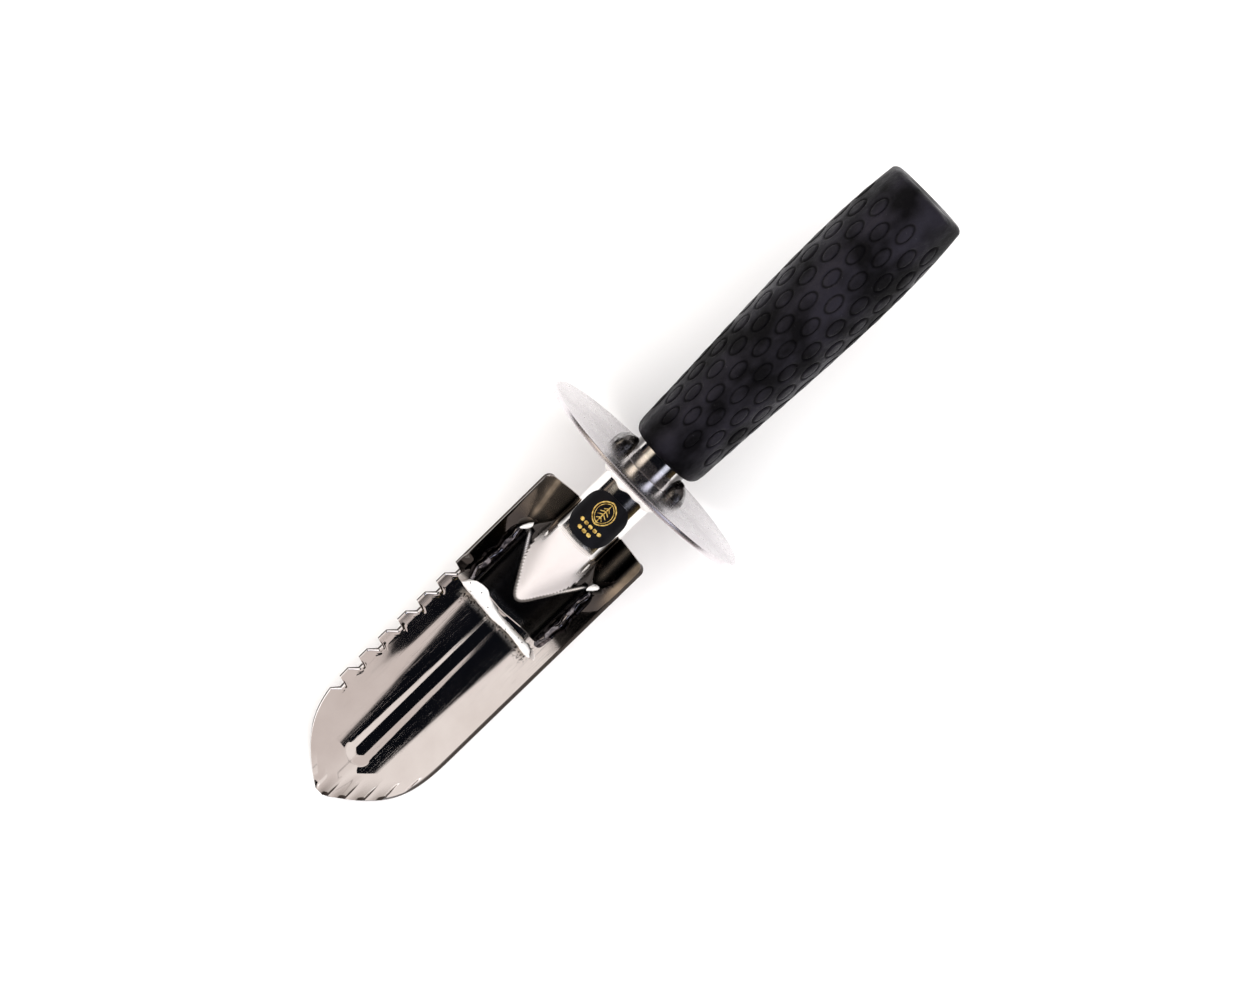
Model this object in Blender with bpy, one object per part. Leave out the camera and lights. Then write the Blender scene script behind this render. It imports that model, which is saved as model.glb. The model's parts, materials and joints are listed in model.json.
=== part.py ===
"""A hand weeder of the digging kind: a saw-toothed gutter blade welded to a gripped steel tube.

Every piece is modelled in the tool's own frame: +X runs along the tube from the guard to the blade's
tip, +Z is the side that the gutter opens to, and the origin is the guard's centre on the tube's axis.
The pieces hang on an empty that leans the tool as it lies on a table, on the guard's rim and the tip.
Sizes are in millimetres, and MM turns them into metres as points are made.
"""

from math import asin, atan2, cos, pi, radians, sin, sqrt

import bmesh
import bpy

MM = 0.001
CLEARANCE = 0.3  # between two pieces that touch on the real tool

TUBE_DIAMETER = 21.3
TUBE_WALL = 1.5
RAMP_START = 34.0  # in front of the guard's centre, where the tube's round top starts to slope down
RAMP_LENGTH = 31.5
SHOULDER_LENGTH = 9.0  # along which the round tube spreads into the flat
FLAT_LENGTH = 6.5  # of the flattened end, in front of the ramp
FLAT_SLIT = 1.0  # between the two walls of the flattened end
FLAT_SPREAD = 0.565  # share of a round tube's lost height that each side gains in width

GUARD_DIAMETER = 90.0
GUARD_THICKNESS = 2.0
GUARD_BEVEL = 0.3
WELD_DISH = 0.35  # depth at the bore of the shallow dish under the weld, on the blade side

GRIP_LENGTH = 130.0
GRIP_GAP = 1.4  # between the guard's tack welds and the grip
GRIP_FRONT_WALL = 4.05
GRIP_FAT_WALL = 7.55
GRIP_BUTT_WALL = 5.55
GRIP_END_WALL = 13.4  # of solid rubber behind the tube
GRIP_FATTEST = 0.72  # share of the grip's length at its largest diameter
GRIP_SWELL = 0.75  # under 1 makes the front part of the grip fuller
GRIP_TAPER = 2.2  # above 1 keeps the grip fat until near its butt
GRIP_FRONT_ROUND = 6.0  # along the grip
GRIP_FRONT_LIP = 3.3  # across the wall
GRIP_BUTT_ROUND = 3.0

BLADE_WIDTH = 50.0
BLADE_LENGTH = 145.0
BLADE_START = 24.0  # in front of the guard's centre
BLADE_THICKNESS = 2.0
GUTTER_DEPTH = 13.5  # over the blade's back, from its edges to its lowest line
REAR_CORNER = 2.5
POINT_LENGTH = 48.0
POINT_CHISEL = 3.4  # width of the blunt end of the point
POINT_FULLNESS = 3.0  # 2 makes the point's outline elliptic, more makes it squarer

TOOTH_COUNT = 7
TOOTH_PITCH = 9.9
TOOTH_DEPTH = 2.7
TOOTH_STEEP = 1.3  # along the blade, of the steep face at a gullet's rear
TOOTH_ROOT = 1.9  # along the blade, of a gullet's bottom
TOOTH_SLOPE = 2.4  # along the blade, of the slope at a gullet's front
TOOTH_TO_TIP = 38.5  # from the foremost gullet's rear to the tip

RIB_TO_TIP = 19.0
RIB_HEIGHT = 1.7
RIB_CREST = 1.7  # half the width of the rib's level top
RIB_FLANK = 3.0  # width of each sloping side
RIB_REAR_FADE = 5.0  # along the blade, where the rib starts in front of the tube
RIB_TIP_FADE = 3.0

LABEL_LENGTH = 19.5
LABEL_TO_RAMP = 2.4
LABEL_THICKNESS = 0.4
LABEL_CORNER = 7.5
LABEL_REACH = 53.0  # degrees round from the top, to each side

FILLET_REACH = 3.6  # of the weld round the tube, out along the guard
FILLET_RUN = 7.8  # forward along the tube
TACK_REACH = 6.4  # of the tack welds, out along the guard
TACK_LENGTH = 6.7  # back along the tube
TACK_SPAN = 38.0  # degrees round the tube
TACK_END = 0.35  # share of a tack weld's size left at its two ends
TOE_OVERHANG = 2.4  # of the toe weld past each edge of the flattened tube
TOE_GAP = 0.5  # between the tube's end and the toe weld
TOE_WIDTH_RIGHT = 5.2
TOE_WIDTH_LEFT = 2.6
TOE_HEIGHT_RIGHT = 3.6
TOE_HEIGHT_LEFT = 2.0
TOE_THINNING = 0.6  # where along the bead its stout part gives way, from its middle to the right
TOE_TAPER = 0.9  # how far the bead draws in at its two ends
SIDE_WELD_WIDTH = 2.4
SIDE_WELD_HEIGHT = 2.6
SIDE_WELD_END = 0.4  # share of a side weld's size left at its two ends

ROUND_STEPS = 48
RAMP_STEPS = 16
POINT_STEPS = 10
BLADE_COLUMNS = 20
EDGE_COLUMNS = 5  # columns beside the saw edge that shift as a gullet cuts in
LABEL_COLUMNS = 20
STATION_GAP = 0.2  # least distance between two of the blade's rows of points
GRIP_STEPS = 16
CORNER_STEPS = 5
BEAD_STEPS = 12
BEAD_SIDES = 8

TUBE_RADIUS = TUBE_DIAMETER / 2
BORE_RADIUS = TUBE_RADIUS + CLEARANCE
GUARD_RADIUS = GUARD_DIAMETER / 2
GUARD_FACE = GUARD_THICKNESS / 2
DISH_RADIUS = BORE_RADIUS + FILLET_REACH + CLEARANCE
GRIP_START = GUARD_FACE + CLEARANCE + TACK_LENGTH + GRIP_GAP
GRIP_REAR = GRIP_START + GRIP_LENGTH
TUBE_REAR = GRIP_REAR - GRIP_END_WALL
RAMP_END = RAMP_START + RAMP_LENGTH
TUBE_FRONT = RAMP_END + FLAT_LENGTH
FLAT_HEIGHT = 2 * TUBE_WALL + FLAT_SLIT
FLAT_EDGE_ROUND = 2 * TUBE_WALL
FLAT_HALF_WIDTH = TUBE_RADIUS + FLAT_SPREAD * (TUBE_RADIUS - FLAT_HEIGHT / 2)
BLADE_END = BLADE_START + BLADE_LENGTH
BLADE_HALF_WIDTH = BLADE_WIDTH / 2
BACK_RADIUS = (BLADE_HALF_WIDTH**2 + GUTTER_DEPTH**2) / (2 * GUTTER_DEPTH)
GUTTER_RADIUS = BACK_RADIUS - BLADE_THICKNESS
GUTTER_FLOOR = -TUBE_RADIUS - CLEARANCE
SEAT_RADIUS = GUTTER_RADIUS - CLEARANCE
RIB_START = TUBE_FRONT + TOE_GAP + TOE_WIDTH_RIGHT
RIB_END = BLADE_END - RIB_TO_TIP
LABEL_START = RAMP_START - LABEL_TO_RAMP - LABEL_LENGTH


def material(name, color, roughness, metallic):
    """A Principled material with the piece's colour and finish."""
    made = bpy.data.materials.new(name)
    made.use_nodes = True
    shader = made.node_tree.nodes["Principled BSDF"]
    shader.inputs["Base Color"].default_value = (*color, 1.0)
    shader.inputs["Roughness"].default_value = roughness
    shader.inputs["Metallic"].default_value = metallic
    made.diffuse_color = (*color, 1.0)
    return made


def add_piece(name, points, faces, look, sharp=35):
    """A mesh object in the tool's frame, from points in millimetres."""
    mesh = bpy.data.meshes.new(name)
    mesh.from_pydata([(x * MM, y * MM, z * MM) for x, y, z in points], [], faces)
    shape = bmesh.new()
    shape.from_mesh(mesh)
    bmesh.ops.recalc_face_normals(shape, faces=shape.faces)
    shape.to_mesh(mesh)
    shape.free()
    mesh.materials.append(look)
    mesh.shade_smooth()
    mesh.set_sharp_from_angle(angle=radians(sharp))
    piece = bpy.data.objects.new(name, mesh)
    bpy.context.collection.objects.link(piece)
    piece.parent = TOOL
    return piece


def bridge(first, second, count, closed=True):
    """Quads between two rows of points that start at the indices first and second."""
    steps = count if closed else count - 1
    quads = []
    for i in range(steps):
        j = (i + 1) % count
        quads.append((first + i, first + j, second + j, second + i))
    return quads


def tube_mesh(loops):
    """Points and faces of a ring-shaped body: each loop is joined to the next, and the last to the first."""
    count = len(loops[0])
    points = [point for loop in loops for point in loop]
    faces = []
    for k in range(len(loops)):
        faces += bridge(k * count, (k + 1) % len(loops) * count, count)
    return points, faces


def capped_mesh(loops):
    """Points and faces of a body of closed loops in a row, with a flat cap at each end."""
    count = len(loops[0])
    points = [point for loop in loops for point in loop]
    faces = [tuple(range(count))]
    for k in range(len(loops) - 1):
        faces += bridge(k * count, (k + 1) * count, count)
    faces.append(tuple(range((len(loops) - 1) * count, len(loops) * count)))
    return points, faces


def sheet_mesh(front_rows, back_rows):
    """Points and faces of a closed sheet: a grid on its front, the same grid on its back, and a rim."""
    rows = len(front_rows)
    count = len(front_rows[0])
    points = [point for row in front_rows + back_rows for point in row]
    back = rows * count
    faces = []
    for r in range(rows - 1):
        faces += bridge(r * count, (r + 1) * count, count, closed=False)
        faces += bridge(back + r * count, back + (r + 1) * count, count, closed=False)
    edge = list(range(count))
    edge += [r * count + count - 1 for r in range(1, rows)]
    edge += [(rows - 1) * count + c for c in range(count - 2, -1, -1)]
    edge += [r * count for r in range(rows - 2, 0, -1)]
    for i, here in enumerate(edge):
        there = edge[(i + 1) % len(edge)]
        faces.append((there, here, back + here, back + there))
    return points, faces


def turned_loop(x, radius, steps=ROUND_STEPS):
    """Points round the tube's axis at one place along it."""
    turns = [2 * pi * i / steps for i in range(steps)]
    return [(x, radius * cos(turn), radius * sin(turn)) for turn in turns]


def quarter_round(x, radius, reach_x, reach_r, steps=CORNER_STEPS):
    """A quarter ellipse in (x, radius) from (x, radius + reach_r) to (x + reach_x, radius)."""
    turns = [pi / 2 * i / steps for i in range(steps + 1)]
    return [(x + reach_x * sin(turn), radius + reach_r * cos(turn)) for turn in turns]


def rise(y, radius):
    """Height of a gutter of this radius above its floor, at y from its middle."""
    return radius - sqrt(max(radius * radius - y * y, 0.0))


def ease(t):
    """0 to 1 with level ends."""
    t = min(max(t, 0.0), 1.0)
    return t * t * (3 - 2 * t)


def tube_loop(x, inset):
    """The tube's outline at x: its outer skin with inset 0, or its bore with inset 1."""
    spread = ease((x - RAMP_START) / SHOULDER_LENGTH)
    wall = TUBE_WALL * inset
    radius = TUBE_RADIUS - wall
    half = radius + (FLAT_HALF_WIDTH - TUBE_RADIUS) * spread
    bend = 1 / ((1 - spread) / radius + spread / (SEAT_RADIUS - wall))
    drop = (TUBE_DIAMETER - FLAT_HEIGHT) / RAMP_LENGTH * max(x - RAMP_START, 0.0)
    height = FLAT_SLIT if inset else FLAT_HEIGHT
    rounding = FLAT_EDGE_ROUND - wall
    loop = []
    for i in range(ROUND_STEPS):
        turn = 2 * pi * i / ROUND_STEPS
        y = half * cos(turn)
        low = rise(y, bend) - radius
        into_edge = max(abs(y) - (half - rounding), 0.0) / rounding
        top = low + height * sqrt(max(1 - into_edge * into_edge, 0.0))
        if abs(y) < radius:
            top = max(top, sqrt(radius**2 - y * y) - drop)
        on_top = 0 < i < ROUND_STEPS / 2
        loop.append((x, y, top if on_top else low))
    return loop


def shaft_tube():
    """The tube: round through the grip and guard, flattened into the blade's gutter at its front."""
    stations = [-TUBE_REAR, 0.0]
    stations += [RAMP_START + RAMP_LENGTH * i / RAMP_STEPS for i in range(RAMP_STEPS + 1)]
    stations.append(TUBE_FRONT)
    outer = [tube_loop(x, 0) for x in stations]
    inner = [tube_loop(x, 1) for x in reversed(stations)]
    points, faces = tube_mesh(outer + inner)
    add_piece("shaft_tube", points, faces, POLISHED_STEEL)


def guard_disc():
    """The round plate with the tube through it, dished a little under the weld on the blade side."""
    profile = [
        (GUARD_FACE - WELD_DISH, BORE_RADIUS),
        (-GUARD_FACE, BORE_RADIUS),
        (-GUARD_FACE, GUARD_RADIUS - GUARD_BEVEL),
        (GUARD_BEVEL - GUARD_FACE, GUARD_RADIUS),
        (GUARD_FACE - GUARD_BEVEL, GUARD_RADIUS),
        (GUARD_FACE, GUARD_RADIUS - GUARD_BEVEL),
        (GUARD_FACE, DISH_RADIUS),
    ]
    points, faces = tube_mesh([turned_loop(x, r, steps=2 * ROUND_STEPS) for x, r in profile])
    add_piece("guard_disc", points, faces, BRUSHED_STEEL)


def grip_radius(along):
    """The sleeve's outer radius at a distance behind its front: it swells, then eases in."""
    share = along / GRIP_LENGTH
    if share < GRIP_FATTEST:
        fuller = ease(share / GRIP_FATTEST) ** GRIP_SWELL
        return BORE_RADIUS + GRIP_FRONT_WALL + (GRIP_FAT_WALL - GRIP_FRONT_WALL) * fuller
    past = (share - GRIP_FATTEST) / (1 - GRIP_FATTEST)
    return BORE_RADIUS + GRIP_FAT_WALL - (GRIP_FAT_WALL - GRIP_BUTT_WALL) * past**GRIP_TAPER


def grip_sleeve():
    """The rubber sleeve: a turned body with a blind bore for the tube."""
    first = grip_radius(GRIP_FRONT_ROUND)
    lip_start = -GRIP_START - GRIP_FRONT_ROUND
    lip = quarter_round(lip_start, first - GRIP_FRONT_LIP, GRIP_FRONT_ROUND, GRIP_FRONT_LIP)
    profile = lip[::-1]
    body = GRIP_LENGTH - GRIP_FRONT_ROUND - GRIP_BUTT_ROUND
    for i in range(1, GRIP_STEPS + 1):
        along = GRIP_FRONT_ROUND + body * i / GRIP_STEPS
        profile.append((-GRIP_START - along, grip_radius(along)))
    corner_x, last = profile.pop()
    profile += quarter_round(corner_x, last - GRIP_BUTT_ROUND, -GRIP_BUTT_ROUND, GRIP_BUTT_ROUND)
    bore = [(-TUBE_REAR - CLEARANCE, BORE_RADIUS), (-GRIP_START, BORE_RADIUS)]
    loops = [turned_loop(x, r) for x, r in profile[::-1] + bore[::-1]]
    points, faces = capped_mesh(loops)
    add_piece("grip_sleeve", points, faces, RUBBER)


def blade_half_width(x):
    """Half the blade's width at x, from its rounded rear corners to its pointed tip."""
    from_rear = x - BLADE_START
    if from_rear < REAR_CORNER:
        return BLADE_HALF_WIDTH - REAR_CORNER + sqrt(REAR_CORNER**2 - (REAR_CORNER - from_rear) ** 2)
    into_point = max(x - (BLADE_END - POINT_LENGTH), 0.0) / POINT_LENGTH
    blunt = POINT_CHISEL / 2
    return blunt + (BLADE_HALF_WIDTH - blunt) * (1 - into_point**POINT_FULLNESS)


def gullet_rears():
    """Places along the blade where the saw's gullets start, from the foremost back."""
    return [BLADE_END - TOOTH_TO_TIP - TOOTH_PITCH * tooth for tooth in range(TOOTH_COUNT)]


def tooth_cut(x):
    """How deep the saw's gullets cut into the right edge at x."""
    cut = 0.0
    for rear in gullet_rears():
        root_end = rear + TOOTH_STEEP + TOOTH_ROOT
        share = min((x - rear) / TOOTH_STEEP, 1.0, 1 - (x - root_end) / TOOTH_SLOPE)
        cut = max(cut, TOOTH_DEPTH * share)
    return cut


def rib_rise(x, y):
    """How far the pressed rib lifts the blade above its plain gutter."""
    fade = ease((x - RIB_START) / RIB_REAR_FADE) * ease((RIB_END - x) / RIB_TIP_FADE)
    return RIB_HEIGHT * fade * (1 - ease((abs(y) - RIB_CREST) / RIB_FLANK))


def blade_stations():
    """Places along the blade: its rear corners, the ribs, each tooth's corners and the point."""
    corner_turns = [pi / 2 * i / CORNER_STEPS for i in range(CORNER_STEPS + 1)]
    along = [BLADE_START + REAR_CORNER * (1 - cos(turn)) for turn in corner_turns]
    along += [RIB_START, RIB_START + RIB_REAR_FADE, RIB_END - RIB_TIP_FADE, RIB_END]
    for rear in gullet_rears():
        root = rear + TOOTH_STEEP
        along += [rear, root, root + TOOTH_ROOT, root + TOOTH_ROOT + TOOTH_SLOPE]
    point = BLADE_END - POINT_LENGTH
    along += [point + POINT_LENGTH * sin(pi / 2 * i / POINT_STEPS) for i in range(1, POINT_STEPS)]
    kept = []
    for x in sorted(along):
        if not kept or x - kept[-1] > STATION_GAP:
            kept.append(x)
    return kept + [BLADE_END]


def blade():
    """The pressed sheet, as one grid of points on its hollow face and one on its back."""
    front_rows = []
    back_rows = []
    for x in blade_stations():
        half = blade_half_width(x)
        cut = tooth_cut(x)
        front = []
        back = []
        for c in range(BLADE_COLUMNS + 1):
            out = half * (2 * c / BLADE_COLUMNS - 1) + cut * max(1 - c / EDGE_COLUMNS, 0.0)
            lean = asin(out / BACK_RADIUS)
            y = GUTTER_RADIUS * sin(lean)
            z = GUTTER_FLOOR + rise(y, GUTTER_RADIUS) + rib_rise(x, y)
            front.append((x, y, z))
            back.append((x, y + BLADE_THICKNESS * sin(lean), z - BLADE_THICKNESS * cos(lean)))
        front_rows.append(front)
        back_rows.append(back)
    points, faces = sheet_mesh(front_rows, back_rows)
    add_piece("blade", points, faces, MIRROR_STEEL)


def label():
    """The sticker: a thin patch wrapped over the top of the tube, with round corners."""
    corner = min(LABEL_CORNER, LABEL_LENGTH / 2)
    corner_places = [corner * (1 - cos(pi / 2 * i / CORNER_STEPS)) for i in range(CORNER_STEPS + 1)]
    inside = []
    outside = []
    for step in corner_places + [LABEL_LENGTH - place for place in reversed(corner_places)]:
        from_end = min(step, LABEL_LENGTH - step, corner)
        cut_back = corner - sqrt(corner**2 - (corner - from_end) ** 2)
        reach = radians(LABEL_REACH) - cut_back / BORE_RADIUS
        turns = [reach * (2 * c / LABEL_COLUMNS - 1) for c in range(LABEL_COLUMNS + 1)]
        x = LABEL_START + step
        outer = BORE_RADIUS + LABEL_THICKNESS
        inside.append([(x, BORE_RADIUS * sin(turn), BORE_RADIUS * cos(turn)) for turn in turns])
        outside.append([(x, outer * sin(turn), outer * cos(turn)) for turn in turns])
    points, faces = sheet_mesh(outside, inside)
    add_piece("label", points, faces, VINYL)


def guard_fillet_weld():
    """The polished weld all round the tube on the guard's blade side."""
    face = GUARD_FACE + CLEARANCE
    profile = [(face, BORE_RADIUS)] + quarter_round(face, BORE_RADIUS, FILLET_RUN, FILLET_REACH)[:-1]
    profile.append((face + FILLET_RUN, BORE_RADIUS))
    points, faces = tube_mesh([turned_loop(x, r) for x, r in profile])
    add_piece("guard_fillet_weld", points, faces, WELD_METAL)


def guard_tack_weld(name, side):
    """A tack weld in the corner between guard and tube, on the handle's side."""
    face = -GUARD_FACE - CLEARANCE
    loops = []
    for i in range(BEAD_STEPS + 1):
        share = 2 * i / BEAD_STEPS - 1
        swell = TACK_END + (1 - TACK_END) * sqrt(1 - share * share)
        turn = side * pi / 2 - radians(TACK_SPAN) / 2 * share
        profile = [(face, BORE_RADIUS)]
        profile += quarter_round(face, BORE_RADIUS, -TACK_LENGTH * swell, TACK_REACH * swell)
        loops.append([(x, r * sin(turn), r * cos(turn)) for x, r in profile])
    points, faces = capped_mesh(loops)
    add_piece(name, points, faces, DARK_WELD, sharp=60)


def toe_weld():
    """The bead across the tube's flat end, stout on the right and thin on the left."""
    half_span = FLAT_HALF_WIDTH + TOE_OVERHANG
    loops = []
    for i in range(BEAD_STEPS + 1):
        share = 2 * i / BEAD_STEPS - 1
        y = half_span * share
        left = ease(share + TOE_THINNING)
        taper = sqrt(1 - TOE_TAPER * share**4)
        width = (TOE_WIDTH_RIGHT + (TOE_WIDTH_LEFT - TOE_WIDTH_RIGHT) * left) * taper
        height = (TOE_HEIGHT_RIGHT + (TOE_HEIGHT_LEFT - TOE_HEIGHT_RIGHT) * left) * taper
        front = TUBE_FRONT + TOE_GAP + TOE_WIDTH_RIGHT
        foot = rise(y, SEAT_RADIUS) - TUBE_RADIUS
        turns = [pi * k / (BEAD_SIDES - 1) for k in range(BEAD_SIDES)]
        loops.append([(front - width / 2 * (1 + cos(turn)), y, foot + height * sin(turn)) for turn in turns])
    points, faces = capped_mesh(loops)
    add_piece("toe_weld", points, faces, WELD_METAL, sharp=60)


def side_weld(name, side):
    """The bead in the corner between the blade and one edge of the flattened tube."""
    start = RAMP_START + SHOULDER_LENGTH
    middle = FLAT_HALF_WIDTH + CLEARANCE + SIDE_WELD_WIDTH / 2
    loops = []
    for i in range(BEAD_STEPS + 1):
        share = 2 * i / BEAD_STEPS - 1
        x = start + (TUBE_FRONT - start) * (1 + share) / 2
        swell = SIDE_WELD_END + (1 - SIDE_WELD_END) * sqrt(1 - share**4)
        loop = []
        for k in range(BEAD_SIDES):
            turn = pi * k / (BEAD_SIDES - 1)
            y = middle + SIDE_WELD_WIDTH / 2 * swell * cos(turn)
            foot = rise(y, SEAT_RADIUS) - TUBE_RADIUS
            loop.append((x, side * y, foot + SIDE_WELD_HEIGHT * swell * sin(turn)))
        loops.append(loop)
    points, faces = capped_mesh(loops)
    add_piece(name, points, faces, WELD_METAL, sharp=60)


def lay_down():
    """Leans the tool until the guard's rim and the blade's tip touch the table, and centres it."""
    rim_x = GUARD_FACE - GUARD_BEVEL
    fall = GUARD_RADIUS + GUTTER_FLOOR - BLADE_THICKNESS
    lean = atan2(fall, BLADE_END - rim_x)
    TOOL.rotation_euler = (0.0, lean, 0.0)
    bpy.context.view_layer.update()
    corners = [
        piece.matrix_world @ vertex.co
        for piece in bpy.data.objects
        if piece.type == "MESH"
        for vertex in piece.data.vertices
    ]
    lowest = min(corner.z for corner in corners)
    middle = [(min(c[axis] for c in corners) + max(c[axis] for c in corners)) / 2 for axis in (0, 1)]
    TOOL.location = (-middle[0], -middle[1], -lowest)
    bpy.context.view_layer.update()


for old in list(bpy.data.objects):
    bpy.data.objects.remove(old, do_unlink=True)

TOOL = bpy.data.objects.new("tool_frame", None)
bpy.context.collection.objects.link(TOOL)

MIRROR_STEEL = material("mirror_steel", (0.75, 0.73, 0.72), 0.08, 1.0)
POLISHED_STEEL = material("polished_steel", (0.72, 0.72, 0.73), 0.14, 1.0)
BRUSHED_STEEL = material("brushed_steel", (0.70, 0.67, 0.68), 0.32, 1.0)
WELD_METAL = material("weld_metal", (0.66, 0.65, 0.64), 0.3, 1.0)
DARK_WELD = material("dark_weld", (0.16, 0.15, 0.15), 0.5, 0.8)
RUBBER = material("grip_rubber", (0.030, 0.027, 0.030), 0.6, 0.0)
VINYL = material("label_vinyl", (0.02, 0.02, 0.022), 0.35, 0.0)

blade()
shaft_tube()
guard_disc()
grip_sleeve()
label()
guard_fillet_weld()
guard_tack_weld("guard_weld_left", 1)
guard_tack_weld("guard_weld_right", -1)
toe_weld()
side_weld("side_weld_left", 1)
side_weld("side_weld_right", -1)
lay_down()
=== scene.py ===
"""The looks of a hand weeder: a mirror-polished gutter blade with a saw edge, a steel tube pressed
flat and welded into it, a round brushed guard and a moulded rubber grip.

Every piece is shaped in the tool's own frame, in millimetres: +X runs along the tube to the blade's
tip, +Y is the tool's left, +Z is the side that the gutter opens to, and the origin is the guard's
centre. ToolFrame then lays the finished piece into the row frame, in metres.
"""

import json
import logging
from collections.abc import Callable, Iterator, Sequence
from contextlib import contextmanager
from dataclasses import dataclass, field
from enum import Enum
from math import cos, pi, radians, sin, sqrt

import bpy
import numpy as np
from mathutils import Matrix, Vector, noise

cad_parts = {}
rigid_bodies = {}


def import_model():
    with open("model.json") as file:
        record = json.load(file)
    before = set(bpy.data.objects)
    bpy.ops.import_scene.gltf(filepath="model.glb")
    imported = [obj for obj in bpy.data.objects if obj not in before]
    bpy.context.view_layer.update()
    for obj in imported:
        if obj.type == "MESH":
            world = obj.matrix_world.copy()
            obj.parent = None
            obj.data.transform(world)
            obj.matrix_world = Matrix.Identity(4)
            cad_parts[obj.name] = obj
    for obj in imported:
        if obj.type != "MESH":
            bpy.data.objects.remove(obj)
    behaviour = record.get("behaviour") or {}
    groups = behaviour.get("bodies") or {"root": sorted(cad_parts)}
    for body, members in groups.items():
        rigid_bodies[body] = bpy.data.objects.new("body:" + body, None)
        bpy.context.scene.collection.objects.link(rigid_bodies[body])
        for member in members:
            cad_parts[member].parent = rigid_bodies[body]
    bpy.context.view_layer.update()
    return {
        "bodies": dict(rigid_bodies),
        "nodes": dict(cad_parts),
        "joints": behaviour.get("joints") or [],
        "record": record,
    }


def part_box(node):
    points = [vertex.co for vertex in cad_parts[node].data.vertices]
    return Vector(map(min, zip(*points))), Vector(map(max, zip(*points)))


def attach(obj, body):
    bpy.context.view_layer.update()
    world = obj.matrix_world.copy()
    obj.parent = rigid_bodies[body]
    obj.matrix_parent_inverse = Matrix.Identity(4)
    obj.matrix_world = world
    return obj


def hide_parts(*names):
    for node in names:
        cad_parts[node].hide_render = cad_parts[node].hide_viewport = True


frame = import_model()
LOG = logging.getLogger("hand_weeder")
MM = 0.001
ROOT = "root"
RIM = 0.9999  # a grid's outermost row lies past this
Array = np.ndarray
Color = tuple[float, float, float]
Piece = bpy.types.Object
Socket = bpy.types.NodeSocket
Section = Callable[[Array, Array], Array]


# ---- the tool's frame and the bench


@dataclass(frozen=True)
class ToolFrame:
    """Where the tool's own frame lies in the row frame."""

    origin: Vector
    axis: Vector

    @classmethod
    def from_frame(cls, packed: dict) -> "ToolFrame":
        """Reads the tube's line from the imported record.


        Returns:
            The frame with its origin at the guard's centre and its axis towards the tip.
        """
        low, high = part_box("guard_disc")
        mounts = {mount["name"]: mount for mount in packed["record"]["mounts"]}
        axis = Vector(mounts["guard_seat"]["axis"]).normalized()
        return cls((Vector(low) + Vector(high)) / 2, axis)

    def turn(self) -> Matrix:
        """The turn alone, from the tool's directions to the row's."""
        left = Vector((0.0, 1.0, 0.0))
        return Matrix((self.axis, left, self.axis.cross(left))).transposed().to_4x4()

    def placing(self) -> Matrix:
        """From tool millimetres to row metres."""
        return Matrix.Translation(self.origin) @ self.turn() @ Matrix.Scale(MM, 4)


TOOL = ToolFrame.from_frame(frame)


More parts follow.
